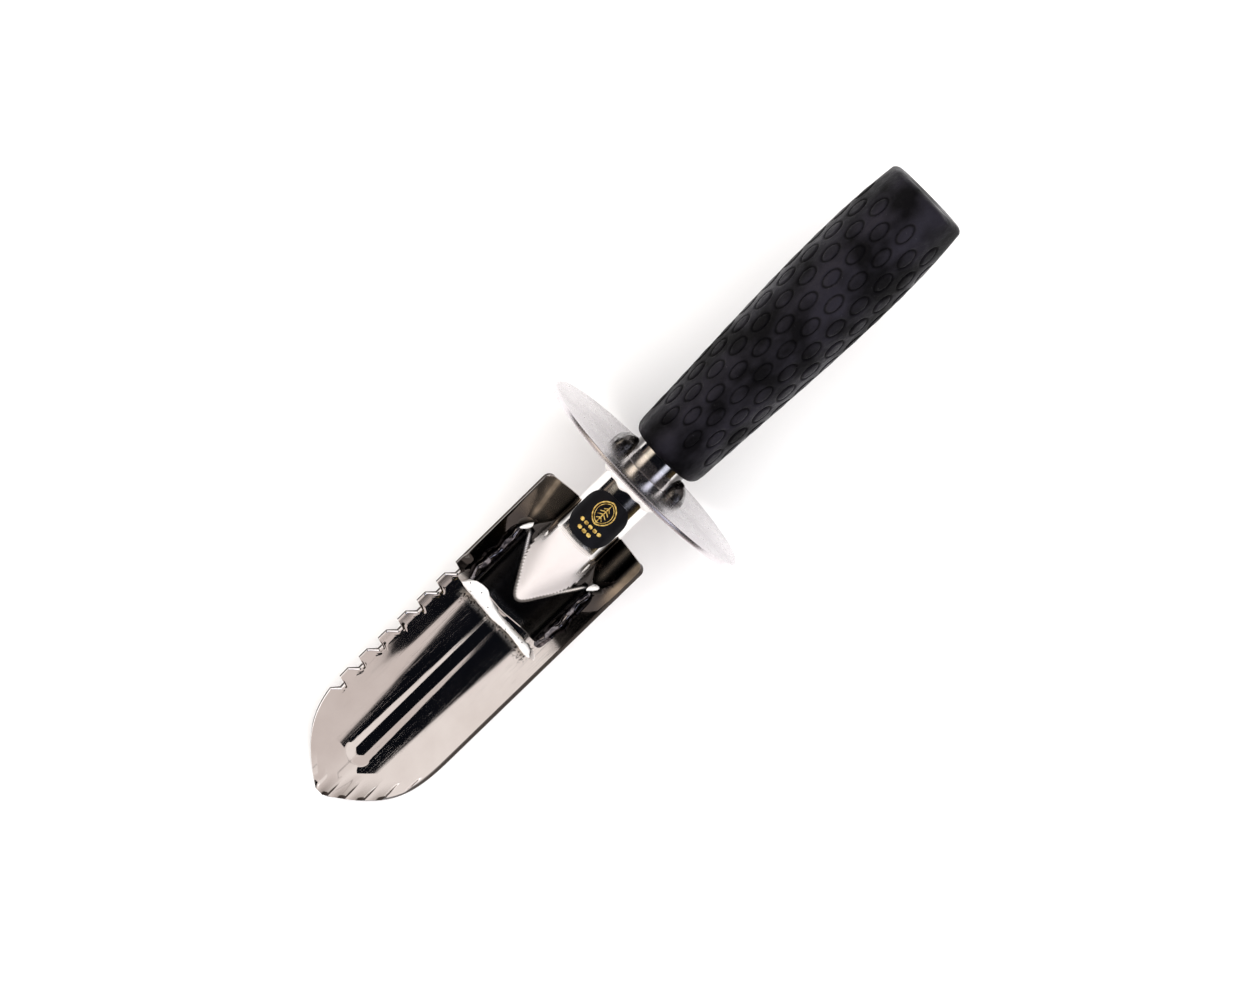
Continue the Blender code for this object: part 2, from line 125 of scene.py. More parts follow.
class Bench:
    """Modelling steps shared by all the pieces."""

    @staticmethod
    def pick(*pieces: Piece) -> None:
        """Selects only these pieces, in object mode, and makes the first one active."""
        if bpy.context.mode != "OBJECT":
            bpy.ops.object.mode_set(mode="OBJECT")
        bpy.ops.object.select_all(action="DESELECT")
        for piece in pieces:
            piece.select_set(True)
        if pieces:
            bpy.context.view_layer.objects.active = pieces[0]

    @staticmethod
    @contextmanager
    def editing(piece: Piece, kind: str) -> Iterator[None]:
        """Opens a mesh with nothing of it selected, and closes it again.

        Args:
            piece: the mesh to work on.
            kind: what is selected in it: VERT, EDGE or FACE.
        """
        Bench.pick(piece)
        bpy.ops.object.mode_set(mode="EDIT")
        bpy.ops.mesh.select_mode(type=kind)
        bpy.ops.mesh.select_all(action="DESELECT")
        yield
        bpy.ops.object.mode_set(mode="OBJECT")

    @staticmethod
    def face_out() -> None:
        """Selects all of the open mesh and turns its faces outwards."""
        bpy.ops.mesh.select_all(action="SELECT")
        bpy.ops.mesh.normals_make_consistent(inside=False)

    @staticmethod
    def pick_open_edges() -> None:
        """Selects the open edges of the open mesh."""
        bpy.ops.mesh.select_non_manifold(use_wire=False, use_multi_face=False, use_verts=False)

    @staticmethod
    def grid(name: str, along: int, across: int) -> tuple[Piece, Array, Array]:
        """A flat grid to be shaped.

        Args:
            name: the piece's name.
            along: faces along its u side.
            across: faces along its v side.

        Returns:
            The new object, and u and v of its points, each from -1 to 1.
        """
        Bench.pick()
        bpy.ops.mesh.primitive_grid_add(x_subdivisions=along, y_subdivisions=across, size=2.0)
        piece = bpy.context.object
        piece.name = name
        piece.data.name = name
        flat = Bench.coordinates(piece)
        return piece, flat[:, 0], flat[:, 1]

    @staticmethod
    def wrapped(name: str, rows: int, around: int) -> tuple[Piece, Array, Array]:
        """A grid to be wrapped round a line.

        Args:
            name: the piece's name.
            rows: stations along the line.
            around: faces round it.

        Returns:
            The new object, and each point's station number and angle.
        """
        piece, u, v = Bench.grid(name, rows - 1, around)
        return piece, np.rint((u + 1) / 2 * (rows - 1)).astype(int), (v + 1) * pi

    @staticmethod
    def coordinates(piece: Piece) -> Array:
        """The mesh's points as rows of three numbers."""
        flat = np.empty(len(piece.data.vertices) * 3)
        piece.data.vertices.foreach_get("co", flat)
        return flat.reshape(-1, 3)

    @staticmethod
    def move_points(piece: Piece, *layers: Array) -> None:
        """Puts the mesh's points at new places, given as one or more layers of rows."""
        points = np.ascontiguousarray(np.concatenate(layers), dtype=float)
        piece.data.vertices.foreach_set("co", points.ravel())
        piece.data.update()

    @staticmethod
    def mark(piece: Piece, name: str, *layers: Array) -> None:
        """Stores a number on each point, for the finish to read."""
        values = np.ascontiguousarray(np.concatenate(layers), dtype=np.float32)
        piece.data.attributes.new(name, "FLOAT", "POINT").data.foreach_set("value", values)

    @staticmethod
    def apply(piece: Piece, kind: str, **settings: object) -> None:
        """Adds a modifier with these settings and applies it.

        Args:
            piece: what it works on.
            kind: the modifier's type.
            settings: its properties by name.
        """
        Bench.pick(piece)
        modifier = piece.modifiers.new(kind.title(), kind)
        for key, value in settings.items():
            setattr(modifier, key, value)
        bpy.ops.object.modifier_apply(modifier=modifier.name)

    @staticmethod
    def round_edges(piece: Piece, width: float, segments: int, angle: float) -> None:
        """Rounds every edge that turns by more than an angle in degrees."""
        Bench.apply(
            piece, "BEVEL", width=width, segments=segments, limit_method="ANGLE",
            angle_limit=radians(angle),
        )

    @staticmethod
    def mend(piece: Piece, distance: float = 0.0005) -> None:
        """Merges doubled points and turns the faces outwards."""
        with Bench.editing(piece, "VERT"):
            bpy.ops.mesh.select_all(action="SELECT")
            bpy.ops.mesh.remove_doubles(threshold=distance)
            Bench.face_out()

    @staticmethod
    def finish(
        piece: Piece, material: bpy.types.Material, node: str, slot: str, smooth: float
    ) -> None:
        """Shades a piece, lays it in the row frame, hangs it under the root body and hides the CAD
        node that it stands for, if any.

        Args:
            piece: the shaped piece, in tool millimetres.
            material: its finish.
            node: the CAD node that it stands for, or an empty text.
            slot: the record's material slot; not used.
            smooth: the angle in degrees over which edges stay sharp.
        """
        Bench.pick(piece)
        bpy.ops.object.shade_smooth_by_angle(angle=radians(smooth))
        piece.matrix_world = TOOL.placing()
        bpy.ops.object.transform_apply(location=True, rotation=True, scale=True)
        piece.data.materials.clear()
        piece.data.materials.append(material)
        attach(piece, ROOT)
        if node:
            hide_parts(node)
        LOG.info("%s: %d faces", piece.name, len(piece.data.polygons))


def unit(t: Array) -> Array:
    """Held between 0 and 1."""
    return np.clip(t, 0.0, 1.0)


def over(t: Array) -> Array:
    """Held at 0 or above."""
    return np.clip(t, 0.0, None)


def ease(t: Array) -> Array:
    """0 to 1 with level ends."""
    t = unit(t)
    return t * t * (3 - 2 * t)


def rises(x: Array, start: float, span: float) -> Array:
    """Eases from 0 at start to 1 a span further on."""
    return ease((x - start) / span)


def falls(x: Array, end: float, span: float) -> Array:
    """Eases from 1 a span before the end to 0 at the end."""
    return ease((end - x) / span)


def bell(x: Array, middle: float, width: float) -> Array:
    """A bell curve of height 1."""
    return np.exp(-(((x - middle) / width) ** 2))


def rolled(x: Array, radius: Array, turn: Array) -> Array:
    """Points at a distance from the tube's line, turned from its top to its left."""
    return np.stack([x, radius * np.sin(turn), radius * np.cos(turn)], axis=1)


def soft_max(a: Array, b: Array, width: float) -> Array:
    """The larger of two heights, blended over a small width where they meet."""
    return (a + b + np.sqrt((a - b) ** 2 + width * width)) / 2


def noise_at(points: Array, scale: float, seed: float) -> Array:
    """Smooth noise of about -1 to 1 at each point, with features of the given size."""
    shift = Vector((seed, seed, seed))
    return np.array([noise.noise(Vector(point) / scale + shift) for point in points])


# ---- finishes


class NodeDesk:
    """A node tree, with short ways to add and join nodes."""

    def __init__(self, tree: bpy.types.NodeTree) -> None:
        """Works on this tree."""
        self.tree = tree

    @classmethod
    def for_material(cls, name: str) -> "NodeDesk":
        """A desk on a new material that has only its shader and output."""
        material = bpy.data.materials.new(name)
        material.use_nodes = True
        desk = cls(material.node_tree)
        desk.material = material
        desk.shader = desk.tree.nodes["Principled BSDF"]
        return desk

    def add(self, kind: str, inputs: dict | None = None, **settings: object) -> bpy.types.Node:
        """Adds a node.

        Args:
            kind: the node's type without its ShaderNode prefix.
            inputs: its inputs' values, or the sockets that feed them.
            settings: its properties.

        Returns:
            The new node.
        """
        node = self.tree.nodes.new("ShaderNode" + kind)
        for key, value in settings.items():
            setattr(node, key, value)
        for key, value in (inputs or {}).items():
            self.feed(node.inputs[key], value)
        return node

    def feed(self, socket: Socket, value: object) -> None:
        """Joins a socket to another one, or sets its value."""
        if isinstance(value, bpy.types.NodeSocket):
            self.tree.links.new(value, socket)
        elif socket.type == "RGBA":
            socket.default_value = (*value, 1.0)
        else:
            socket.default_value = value

    def math(self, operation: str, *values: object) -> Socket:
        """A math node's result."""
        return self.add("Math", dict(enumerate(values)), operation=operation).outputs[0]

    def times(self, first: object, second: object) -> Socket:
        """The product of two values."""
        return self.math("MULTIPLY", first, second)

    def scaled(self, value: object, factor: object, start: object) -> Socket:
        """A value times a factor, and a start added."""
        return self.math("MULTIPLY_ADD", value, factor, start)

    def gap(self, first: object, second: object) -> Socket:
        """The first value less the second."""
        return self.math("SUBTRACT", first, second)

    def place(self, stretch: Color = (1.0, 1.0, 1.0)) -> Socket:
        """Tool-frame coordinates in millimetres, stretched along the tool's axes."""
        source = self.add("TexCoord").outputs["Object"]
        location, turn, _ = TOOL.placing().inverted().decompose()
        inputs = {
            "Vector": source, "Location": location, "Rotation": turn.to_euler(),
            "Scale": (1 / MM, 1 / MM, 1 / MM),
        }
        plain = self.add("Mapping", inputs).outputs["Vector"]
        if stretch == (1.0, 1.0, 1.0):
            return plain
        return self.add("Mapping", {"Vector": plain, "Scale": stretch}).outputs["Vector"]

    def mix(self, factor: object, first: object, second: object) -> Socket:
        """Blends two colours by a factor."""
        inputs = {"Fac": factor, "Color1": first, "Color2": second}
        return self.add("MixRGB", inputs).outputs["Color"]

    def step(self, value: object, low: float, high: float) -> Socket:
        """0 below low, 1 above high, smooth between."""
        inputs = {"Value": value, "From Min": low, "From Max": high}
        return self.add("MapRange", inputs, interpolation_type="SMOOTHSTEP").outputs["Result"]

    def spread(self, factor: Socket, low: float, high: float, **start: float) -> Socket:
        """A factor turned into a value from low to high.

        Args:
            factor: what the value follows.
            low: the value at the factor's start.
            high: the value at its end.
            start: the factor's own From_Min and From_Max, where they aren't 0 and 1.

        Returns:
            The value's socket.
        """
        inputs = {"Value": factor, "To Min": low, "To Max": high}
        inputs |= {key.replace("_", " "): value for key, value in start.items()}
        return self.add("MapRange", inputs).outputs["Result"]

    def mark(self, name: str) -> Socket:
        """A number stored on the mesh's points."""
        return self.add("Attribute", attribute_name=name).outputs["Fac"]

    def noise(self, vector: Socket, scale: float, detail: float) -> Socket:
        """Noise of 0 to 1."""
        inputs = {"Vector": vector, "Scale": scale, "Detail": detail}
        return self.add("TexNoise", inputs).outputs["Fac"]

    def ramp(self, factor: Socket, *stops: tuple[float, Color]) -> Socket:
        """Colours by a factor, at the given stops."""
        node = self.add("ValToRGB", {"Fac": factor})
        elements = node.color_ramp.elements
        while len(elements) < len(stops):
            elements.new(1.0)
        for element, (position, color) in zip(elements, stops):
            element.position = position
            element.color = (*color, 1.0)
        return node.outputs["Color"]

    def bump(self, *layers: tuple[Socket, float]) -> Socket:
        """A normal bumped by one or more layers.

        Args:
            layers: heights of 0 to 1, each with how high 1 is in metres.

        Returns:
            The normal's socket.
        """
        normal = None
        for height, distance in layers:
            inputs = {"Height": height, "Distance": distance, "Strength": 1.0}
            if normal is not None:
                inputs["Normal"] = normal
            normal = self.add("Bump", inputs).outputs["Normal"]
        return normal

    def dress(self, **inputs: object) -> bpy.types.Material:
        """Sets the shader's inputs, with _ for a space in a name, and returns the material."""
        for key, value in inputs.items():
            name = key.replace("_", " ").title().replace("Ior", "IOR")
            self.feed(self.shader.inputs[name], value)
        return self.material


class Grain(Enum):
    """The way that a steel's finishing lines run: a stretch of the pattern along X, Y and Z."""

    ROUND_TUBE = (1.0, 0.06, 0.06)
    ACROSS_DISC = (1.0, 1.0, 0.012)


@dataclass(frozen=True)
class Steel:
    """Stainless steel, from a mirror polish to a brushed plate."""

    name: str
    light: Color
    dark: Color
    roughness: tuple[float, float]
    grain: Grain
    grain_scale: float
    grain_depth: float
    wave_depth: float
    anisotropy: float = 0.0
    # Colour of the tube ramp's painted reflection and painted crease highlights.
    painted_glare_color: Color = (0.82, 0.77, 0.76)
    heat_color: Color = (0.30, 0.18, 0.08)
    # Near-black colour of the tube's painted dark reflection.
    dark_reflection_color: Color = (0.030, 0.026, 0.025)

    def material(self) -> bpy.types.Material:
        """Makes the finish: smudges, fine lines, a pressed sheet's waves, and the shape's marks."""
        desk = NodeDesk.for_material(self.name)
        place = desk.place()
        smudge = desk.noise(place, 0.09, 4.0)
        lines = desk.noise(desk.place(self.grain.value), self.grain_scale, 5.0)
        gloss = desk.scaled(lines, 0.35, desk.times(smudge, 0.65))
        # The ground mark paints the tube's ramp pale and matte as a painted reflection, with
        # painted highlights at the creases.
        ground = desk.mark("ground")
        mottle = desk.spread(desk.noise(place, 0.22, 3.0), 0.5, 1.3)
        color = desk.ramp(smudge, (0.3, self.dark), (0.7, self.light))
        color = desk.mix(ground, color, self.painted_glare_color)
        color = desk.mix(desk.times(desk.mark("heat"), mottle), color, self.heat_color)
        # The tube's painted dark reflection mark turns its colour near black.
        return desk.dress(
            base_color=desk.mix(desk.mark("soot_and_shade"), color, self.dark_reflection_color),
            metallic=desk.scaled(ground, -0.72, 1.0),
            roughness=desk.scaled(ground, 0.30, desk.spread(gloss, *self.roughness)),
            anisotropic=self.anisotropy,
            normal=desk.bump(
                (desk.noise(place, 0.035, 1.0), self.wave_depth), (lines, self.grain_depth)
            ),
        )


@dataclass(frozen=True)
class PolishedSheet:
    """Mirror-polished sheet: faint streaks, dark cut rims, bronze heat tint by the welds, and
    painted dark reflection and shade.
    """

    name: str = "mirror_steel"
    clean: Color = (0.90, 0.86, 0.84)
    hazy: Color = (0.82, 0.77, 0.75)
    tint: Color = (0.42, 0.25, 0.11)
    rim: Color = (0.05, 0.04, 0.035)
    # Near-black colour of the painted dark reflection and the painted flute shade.
    painted_dark: Color = (0.045, 0.038, 0.034)
    bronze: Color = (0.30, 0.225, 0.150)
    soot_and_shade: Color = (0.012, 0.009, 0.008)

    def material(self) -> bpy.types.Material:
        """Makes the finish from the shape's marks: heat tint, bronze, the painted dark reflection
        and painted shade, sooty specks, and the cut rim with painted shadow.
        """
        desk = NodeDesk.for_material(self.name)
        place = desk.place()
        haze = desk.noise(place, 0.07, 4.0)
        streaks = desk.noise(desk.place((0.012, 1.0, 1.0)), 2.6, 4.0)
        scratches = desk.step(desk.noise(desk.place((0.02, 2.4, 2.4)), 3.0, 2.0), 0.60, 0.72)
        mottle = desk.spread(desk.noise(place, 0.25, 3.0), 0.55, 1.25)
        heat, bronze = (
            desk.math("MINIMUM", desk.times(desk.mark(name), mottle), 1.0)
            for name in ("heat", "bronze")
        )
        # Painted dark reflection and painted shade: this mark turns the colour near black, tinted
        # bronze where the bronze mark is set.
        shade_and_scorch = desk.mark("shade_and_scorch")
        soot_and_shade = desk.times(desk.mark("soot_and_shade"), desk.step(desk.noise(place, 1.3, 3.0), 0.52, 0.60))
        # The rim mark holds the darker cut rim and the painted shadow in the notches and along the
        # flute ridges.
        rim_and_notch_shade = desk.step(desk.mark("rim"), 0.30, 0.65)
        color = desk.ramp(haze, (0.3, self.hazy), (0.7, self.clean))
        color = desk.mix(heat, color, self.tint)
        color = desk.mix(shade_and_scorch, color, desk.mix(bronze, self.painted_dark, self.bronze))
        color = desk.mix(soot_and_shade, color, self.soot_and_shade)
        gloss = desk.scaled(scratches, 0.5, desk.times(haze, 0.5))
        return desk.dress(
            base_color=desk.mix(rim_and_notch_shade, color, self.rim),
            metallic=desk.scaled(desk.times(bronze, shade_and_scorch), -0.7, 1.0),
            roughness=desk.scaled(rim_and_notch_shade, 0.25, desk.spread(gloss, 0.012, 0.105)),
            normal=desk.bump(
                (desk.noise(place, 0.03, 1.0), 0.00006), (streaks, 0.0000018),
                (scratches, 0.0000008),
            ),
        )


@dataclass(frozen=True)
class WeldBead:
    """Weld metal: rippled and dotted with pinholes."""

    name: str
    light: Color
    dark: Color
    roughness: tuple[float, float]
    ripple_depth: float
    pinhole_share: float
    metal: float = 1.0
    pinhole_color: Color = (0.01, 0.008, 0.007)
    pinhole_depth: float = 0.0003

    def material(self) -> bpy.types.Material:
        """Makes the finish."""
        desk = NodeDesk.for_material(self.name)
        place = desk.place()
        lumps = desk.noise(place, 0.45, 3.0)
        cells = desk.add("TexVoronoi", {"Vector": place, "Scale": 0.8, "Randomness": 1.0})
        chance = desk.add("SeparateXYZ", {0: cells.outputs["Color"]}).outputs["X"]
        pinhole = desk.times(
            desk.math("LESS_THAN", chance, self.pinhole_share),
            desk.math("LESS_THAN", cells.outputs["Distance"], 0.22),
        )
        metal = desk.ramp(lumps, (0.35, self.dark), (0.65, self.light))
        return desk.dress(
            base_color=desk.mix(pinhole, metal, self.pinhole_color),
            metallic=self.metal,
            roughness=desk.spread(lumps, *self.roughness),
            normal=desk.bump((lumps, self.ripple_depth), (pinhole, -self.pinhole_depth)),
        )


@dataclass(frozen=True)
class MouldedRubber:
    """The grip's charcoal rubber, with a fine mould grain, lighter and glossier painted sheen in
    spots, and painted shade in the grooves.
    """

    name: str = "grip_rubber"
    dark: Color = (0.0008, 0.0007, 0.0014)
    # Colour of the painted sheen.
    painted_sheen: Color = (0.0112, 0.0100, 0.0152)
    # Painted shade in the grooves.
    groove: Color = (0.0008, 0.0008, 0.0012)
    fleck: Color = (0.05, 0.05, 0.055)
    patch_low: float = 0.42
    patch_high: float = 0.60

    def material(self) -> bpy.types.Material:
        """Makes the finish, with painted shade in the grooves that the pads' attribute marks."""
        desk = NodeDesk.for_material(self.name)
        place = desk.place()
        low, high = self.patch_low, self.patch_high
        # Noise for the painted sheen and for broad bumps.
        sheen_and_bump = desk.noise(place, 0.06, 5.0)
        # Noise stretched along the grip, for the painted sheen's streaks.
        worn = desk.noise(desk.place((0.6, 1.0, 1.0)), 0.10, 3.0)
        sheen_patches = desk.scaled(worn, 0.6, desk.times(sheen_and_bump, 0.4))
        groove = desk.mark("groove")
        fleck = desk.math("GREATER_THAN", desk.noise(place, 1.4, 1.0), 0.80)
        # Painted sheen: the lighter colour stands in for blotchy highlights, and is glossier too.
        color = desk.ramp(sheen_patches, (low, self.dark), (high, self.painted_sheen))
        # Painted shade: the grooves round the pads are darker.
        color = desk.mix(groove, color, self.groove)
        gloss = desk.spread(sheen_patches, 0.72, 0.36, From_Min=low, From_Max=high)
        return desk.dress(
            base_color=desk.mix(fleck, color, self.fleck),
            roughness=desk.scaled(groove, 0.25, gloss),
            specular_ior_level=0.22,
            normal=desk.bump(
                (desk.noise(place, 3.0, 3.0), 0.00008), (desk.noise(place, 0.35, 2.0), 0.00035),
                (sheen_and_bump, 0.0008),
            ),
        )


@dataclass(frozen=True)
class PrintedVinyl:
    """The sticker's black film."""

    name: str = "label_vinyl"
    dark: Color = (0.0025, 0.0025, 0.0035)
    light: Color = (0.005, 0.005, 0.007)

    def material(self) -> bpy.types.Material:
        """Makes the finish."""
        desk = NodeDesk.for_material(self.name)
        place = desk.place()
        fine = desk.noise(place, 2.5, 2.0)
        slow = desk.noise(place, 0.15, 2.0)
        return desk.dress(
            base_color=desk.ramp(slow, (0.3, self.dark), (0.7, self.light)),
            roughness=desk.spread(fine, 0.30, 0.46),
            specular_ior_level=0.12,
            normal=desk.bump((fine, 0.00002)),
        )


@dataclass(frozen=True)
class GoldFoil:
    """Printed gold, worn in places."""

    name: str = "label_gold"
    worn: Color = (0.34, 0.20, 0.04)
    bright: Color = (0.95, 0.68, 0.20)

    def material(self) -> bpy.types.Material:
        """Makes the finish."""
        desk = NodeDesk.for_material(self.name)
        wear = desk.noise(desk.place(), 0.9, 3.0)
        color = desk.ramp(wear, (0.35, self.worn), (0.6, self.bright))
        return desk.dress(base_color=color, metallic=0.6, roughness=desk.spread(wear, 0.3, 0.5))


TUBE_STEEL = Steel(
    "tube_steel", (0.90, 0.88, 0.86), (0.82, 0.80, 0.78), (0.04, 0.12),
    Grain.ROUND_TUBE, 1.2, 0.0000015, 0.00005,
)
DISC_STEEL = Steel(
    "disc_steel", (0.76, 0.73, 0.745), (0.64, 0.60, 0.625), (0.20, 0.34),
    Grain.ACROSS_DISC, 2.2, 0.00002, 0.00002, 0.4,
)
BRIGHT_WELD = WeldBead(
    "bright_weld", (0.99, 0.975, 0.96), (0.93, 0.91, 0.89), (0.22, 0.38), 0.0001, 0.14, 0.12
)
WRINKLED_WELD = WeldBead(
    "wrinkled_weld", (0.36, 0.345, 0.375), (0.035, 0.035, 0.045), (0.06, 0.16), 0.00008, 0.06
)
DARK_WELD = WeldBead(
    "dark_weld", (0.38, 0.37, 0.37), (0.07, 0.065, 0.065), (0.16, 0.34), 0.0005, 0.3
)


# ---- blade


@dataclass
class Blade:
    """The pressed gutter with its saw edge, rib, flutes and ground point."""

    start: float = 24.0
    length: float = 145.0
    width: float = 50.0
    thickness: float = 2.0
    depth: float = 13.5
    floor: float = -10.95
    rear_corner: float = 2.5
    point_length: float = 48.0
    point_blunt: float = 1.7
    gullet_count: int = 7
    gullet_pitch: float = 9.9
    gullet_depth: float = 2.7
    gullet_steep: float = 1.3
    gullet_root: float = 1.9
    gullet_slope: float = 2.4
    gullet_to_tip: float = 38.5
    bevel_depth: float = 0.83
    bevel_width: float = 3.1
    bevel_start: float = 66.0
    rib_start: float = 77.7
    rib_rise: float = 6.0
    rib_to_tip: float = 22.0
    rib_crest: float = 1.75
    rib_height: float = 1.45
    rib_flank: float = 2.1
    flute_ridges: tuple[float, ...] = (-5.2, -1.5, 3.5, 8.9, 14.5, 19.6, 23.6)
    flute_lengths: tuple[float, ...] = (6.5, 10.0, 12.0, 11.5, 9.0, 6.0)
    flute_deepest: float = 0.70
    flute_depth: float = 0.85
    notch_depth: float = 1.3
    notched_from: float = 7.0
    grind_length: float = 18.5
    grind_depth: float = 1.15
    most_ground: float = 0.92
    lobe_apex: tuple[float, float] = (44.5, 15.3)
    wall_straight: float = 18.2
    wall_gain: float = 0.12
    wall_blend: float = 3.0
    rim_round: float = 0.22
    across: int = 160
    end: float = field(init=False)
    back_radius: float = field(init=False)
    hollow_radius: float = field(init=False)

    def __post_init__(self) -> None:
        """Works out the sizes that follow from the others."""
        half = self.width / 2
        self.end = self.start + self.length
        self.back_radius = (half**2 + self.depth**2) / (2 * self.depth)
        self.hollow_radius = self.back_radius - self.thickness

    def gullet_rears(self) -> list[float]:
        """Places along the blade where the gullets start."""
        first = self.end - self.gullet_to_tip
        return [first - self.gullet_pitch * i for i in range(self.gullet_count)]

    def half_width(self, x: Array) -> Array:
        """Half the blade's width at each x."""
        into = over(x - (self.end - self.point_length)) / self.point_length
        pointed = self.point_blunt + (self.width / 2 - self.point_blunt) * (1 - into**3)
        from_rear = np.clip(x - self.start, 0.0, self.rear_corner)
        return pointed - (
            self.rear_corner - np.sqrt(self.rear_corner**2 - (self.rear_corner - from_rear) ** 2)
        )

    def behind_edge(self, x: Array, out: Array) -> Array:
        """How far each point lies behind the point's outline."""
        share = unit((np.abs(out) - self.point_blunt) / (self.width / 2 - self.point_blunt))
        return over(self.end - self.point_length * (1 - (1 - share) ** (1 / 3)) - x)

    def wall(self, y: Array) -> tuple[Array, Array]:
        """The hollow face's section: round below, nearly straight at the edges.

        Args:
            y: distances from the middle.

        Returns:
            Rises in millimetres and leans in radians, positive on the left.
        """
        radius = self.hollow_radius
        side = np.minimum(np.abs(y), self.wall_straight)
        past = np.abs(y) - side
        faded = 1 - np.exp(-past / self.wall_blend)
        slope = self.wall_straight / sqrt(radius**2 - self.wall_straight**2)
        gain = self.wall_gain * (past - self.wall_blend * faded)
        drop = np.sqrt(radius**2 - side**2)
        lean = np.arctan(side / drop + self.wall_gain * faded)
        return radius - drop + slope * past + gain, lean * np.sign(y)

    def tooth_cut(self, x: Array) -> Array:
        """How deep the gullets cut in at each x."""
        cut = np.zeros_like(x)
        for rear in self.gullet_rears():
            root_end = rear + self.gullet_steep + self.gullet_root
            shape = np.minimum(
                (x - rear) / self.gullet_steep, 1 - (x - root_end) / self.gullet_slope
            )
            cut = np.maximum(cut, self.gullet_depth * unit(shape))
        return cut

    def stations(self) -> Array:
        """Places along the blade, closer at the point, with one at each gullet's corners."""
        point = self.end - 31.0
        fine = [*np.linspace(self.start, point, 130), *np.linspace(point, self.end, 72)[1:]]
        corner = self.start + self.rear_corner * (1 - np.cos(np.linspace(0, pi / 2, 8)))
        tip = self.end - 5.5 * (1 - np.sin(np.linspace(0, pi / 2, 12)))
        root_end = self.gullet_steep + self.gullet_root
        corners = (0.0, self.gullet_steep, root_end, root_end + self.gullet_slope)
        teeth = [rear + step for rear in self.gullet_rears() for step in corners]
        fixed = sorted([*corner, *teeth, *tip])
        loose = [x for x in fine if min(abs(x - f) for f in fixed) > 0.2]
        return np.array(sorted([*fixed, *loose]))

    def rib(self, x: Array, y: Array) -> Array:
        """Lift of the pressed rib: a crest between two slopes that widen towards the point."""
        share = unit((x - 80.0) / 70.0)
        height = self.rib_height + 0.5 * share
        flank = self.rib_flank + 1.3 * share
        out = np.hypot(y, over(x - (self.end - self.rib_to_tip)))
        profile = np.zeros_like(x)
        for blur in (-0.35, 0.0, 0.35):
            profile += unit(1 - (out + blur - self.rib_crest) / flank) / 3
        return height * rises(x, self.rib_start - self.rib_rise, self.rib_rise) * profile

    def flute_rows(self) -> Iterator[tuple[float, float, float, float, bool]]:
        """Each flute's two ridges, its deepest line, its length, and whether it nicks the edge."""
        for low, high, reach in zip(self.flute_ridges, self.flute_ridges[1:], self.flute_lengths):
            middle = low + self.flute_deepest * (high - low)
            yield low, high, middle, reach, reach > self.notched_from

    def flutes(self, x: Array, out: Array) -> Array:
        """Depth of the flutes in the point's left side, with a notch where each meets the edge."""
        depth = np.zeros_like(x)
        back = self.behind_edge(x, out)
        for low, high, middle, reach, notched in self.flute_rows():
            inside = (out - low) / (high - low)
            bowl = unit(np.minimum(inside / 0.72, (1 - inside) / 0.28))
            bowl = np.where((inside > 0) & (inside < 1), ease(bowl) * 0.5 + bowl * 0.5, 0.0)
            fade = unit(1 - back / reach) ** 0.7
            depth = np.maximum(depth, self.flute_depth * bowl * fade)
            notch = bell(out, middle, 0.75) * unit(1.25 - back / 1.5)
            depth = depth + (self.notch_depth - self.flute_depth) * notch * notched
        return depth

    def ground_off(self, x: Array, out: Array, half: Array) -> Array:
        """How much the hollow face is ground away: thinned point, saw bevel and flutes."""
        slant = 3.2 * rises(out, 2.0, 3.2) - np.clip(out - 5.5, 0.0, 8.0)
        line = self.end - self.grind_length + slant
        thinned = self.grind_depth * unit((x - line) / (self.end - line))
        bevel = self.bevel_depth * unit(1 - (out + half) / self.bevel_width)
        bevel = bevel * rises(x, self.bevel_start, 2.0)
        return np.minimum(thinned + bevel + self.flutes(x, out), self.thickness * self.most_ground)

    def lobes(self, x: Array, y: Array) -> Array:
        """Fan-shaped folds from the tube's shoulders back to the blade's rear corners."""
        along = over(self.lobe_apex[0] - x)
        aside = np.abs(y) - self.lobe_apex[1]
        angle = np.degrees(np.arctan2(aside, along + 1e-6))
        left = 0.018 * bell(angle, 2.0, 9.0) - 0.014 * bell(angle, -14.0, 8.0)
        right = 0.035 * unit(1 - np.abs(angle - 9.0) / 12.0)
        fan = np.where(y > 0, left, right) * np.hypot(along, aside)
        return fan * ease(along / 3.0) * falls(np.abs(angle - 3.0), 30.0, 10.0)

    def point_marks(self, x: Array, out: Array) -> tuple[Array, Array, Array]:
        """Marks on the ground point.

        Args:
            x: places along the blade.
            out: distances from the middle along the sheet.

        Returns:
            Burnt lines, painted shade in the flutes, and painted shadow in the notches and along
            the ridges, from 0 to about 1.
        """
        back = self.behind_edge(x, out)
        burnt, painted_flute_shade, dark = (np.zeros_like(x) for _ in range(3))
        for low, high, middle, reach, notched in self.flute_rows():
            here = unit(1.4 - 1.4 * back / reach)
            burnt = np.maximum(burnt, 0.62 * here * bell(out, middle - 0.5, 1.5))
            inside = unit((out - low) / (high - low))
            # Painted shade across each notched flute, fading out at its two ridges.
            shade = ease(inside / 0.5) * ease((1 - inside) / 0.12) * notched
            painted_flute_shade = np.maximum(painted_flute_shade, shade * unit(1.15 - 1.1 * back / reach) ** 1.3)
            # Painted shadow: a dark line beside each upper ridge, and a dark spot in each notch at
            # the edge.
            ridge_shade = 0.9 * bell(out, high - 0.34, 0.45) * here
            notch_shadow = bell(out, middle, 1.15) * over(np.minimum(2.2 - back / 1.0, 1.0))
            dark = np.maximum(dark, np.maximum(notch_shadow, ridge_shade) * notched)
        return burnt, painted_flute_shade, dark

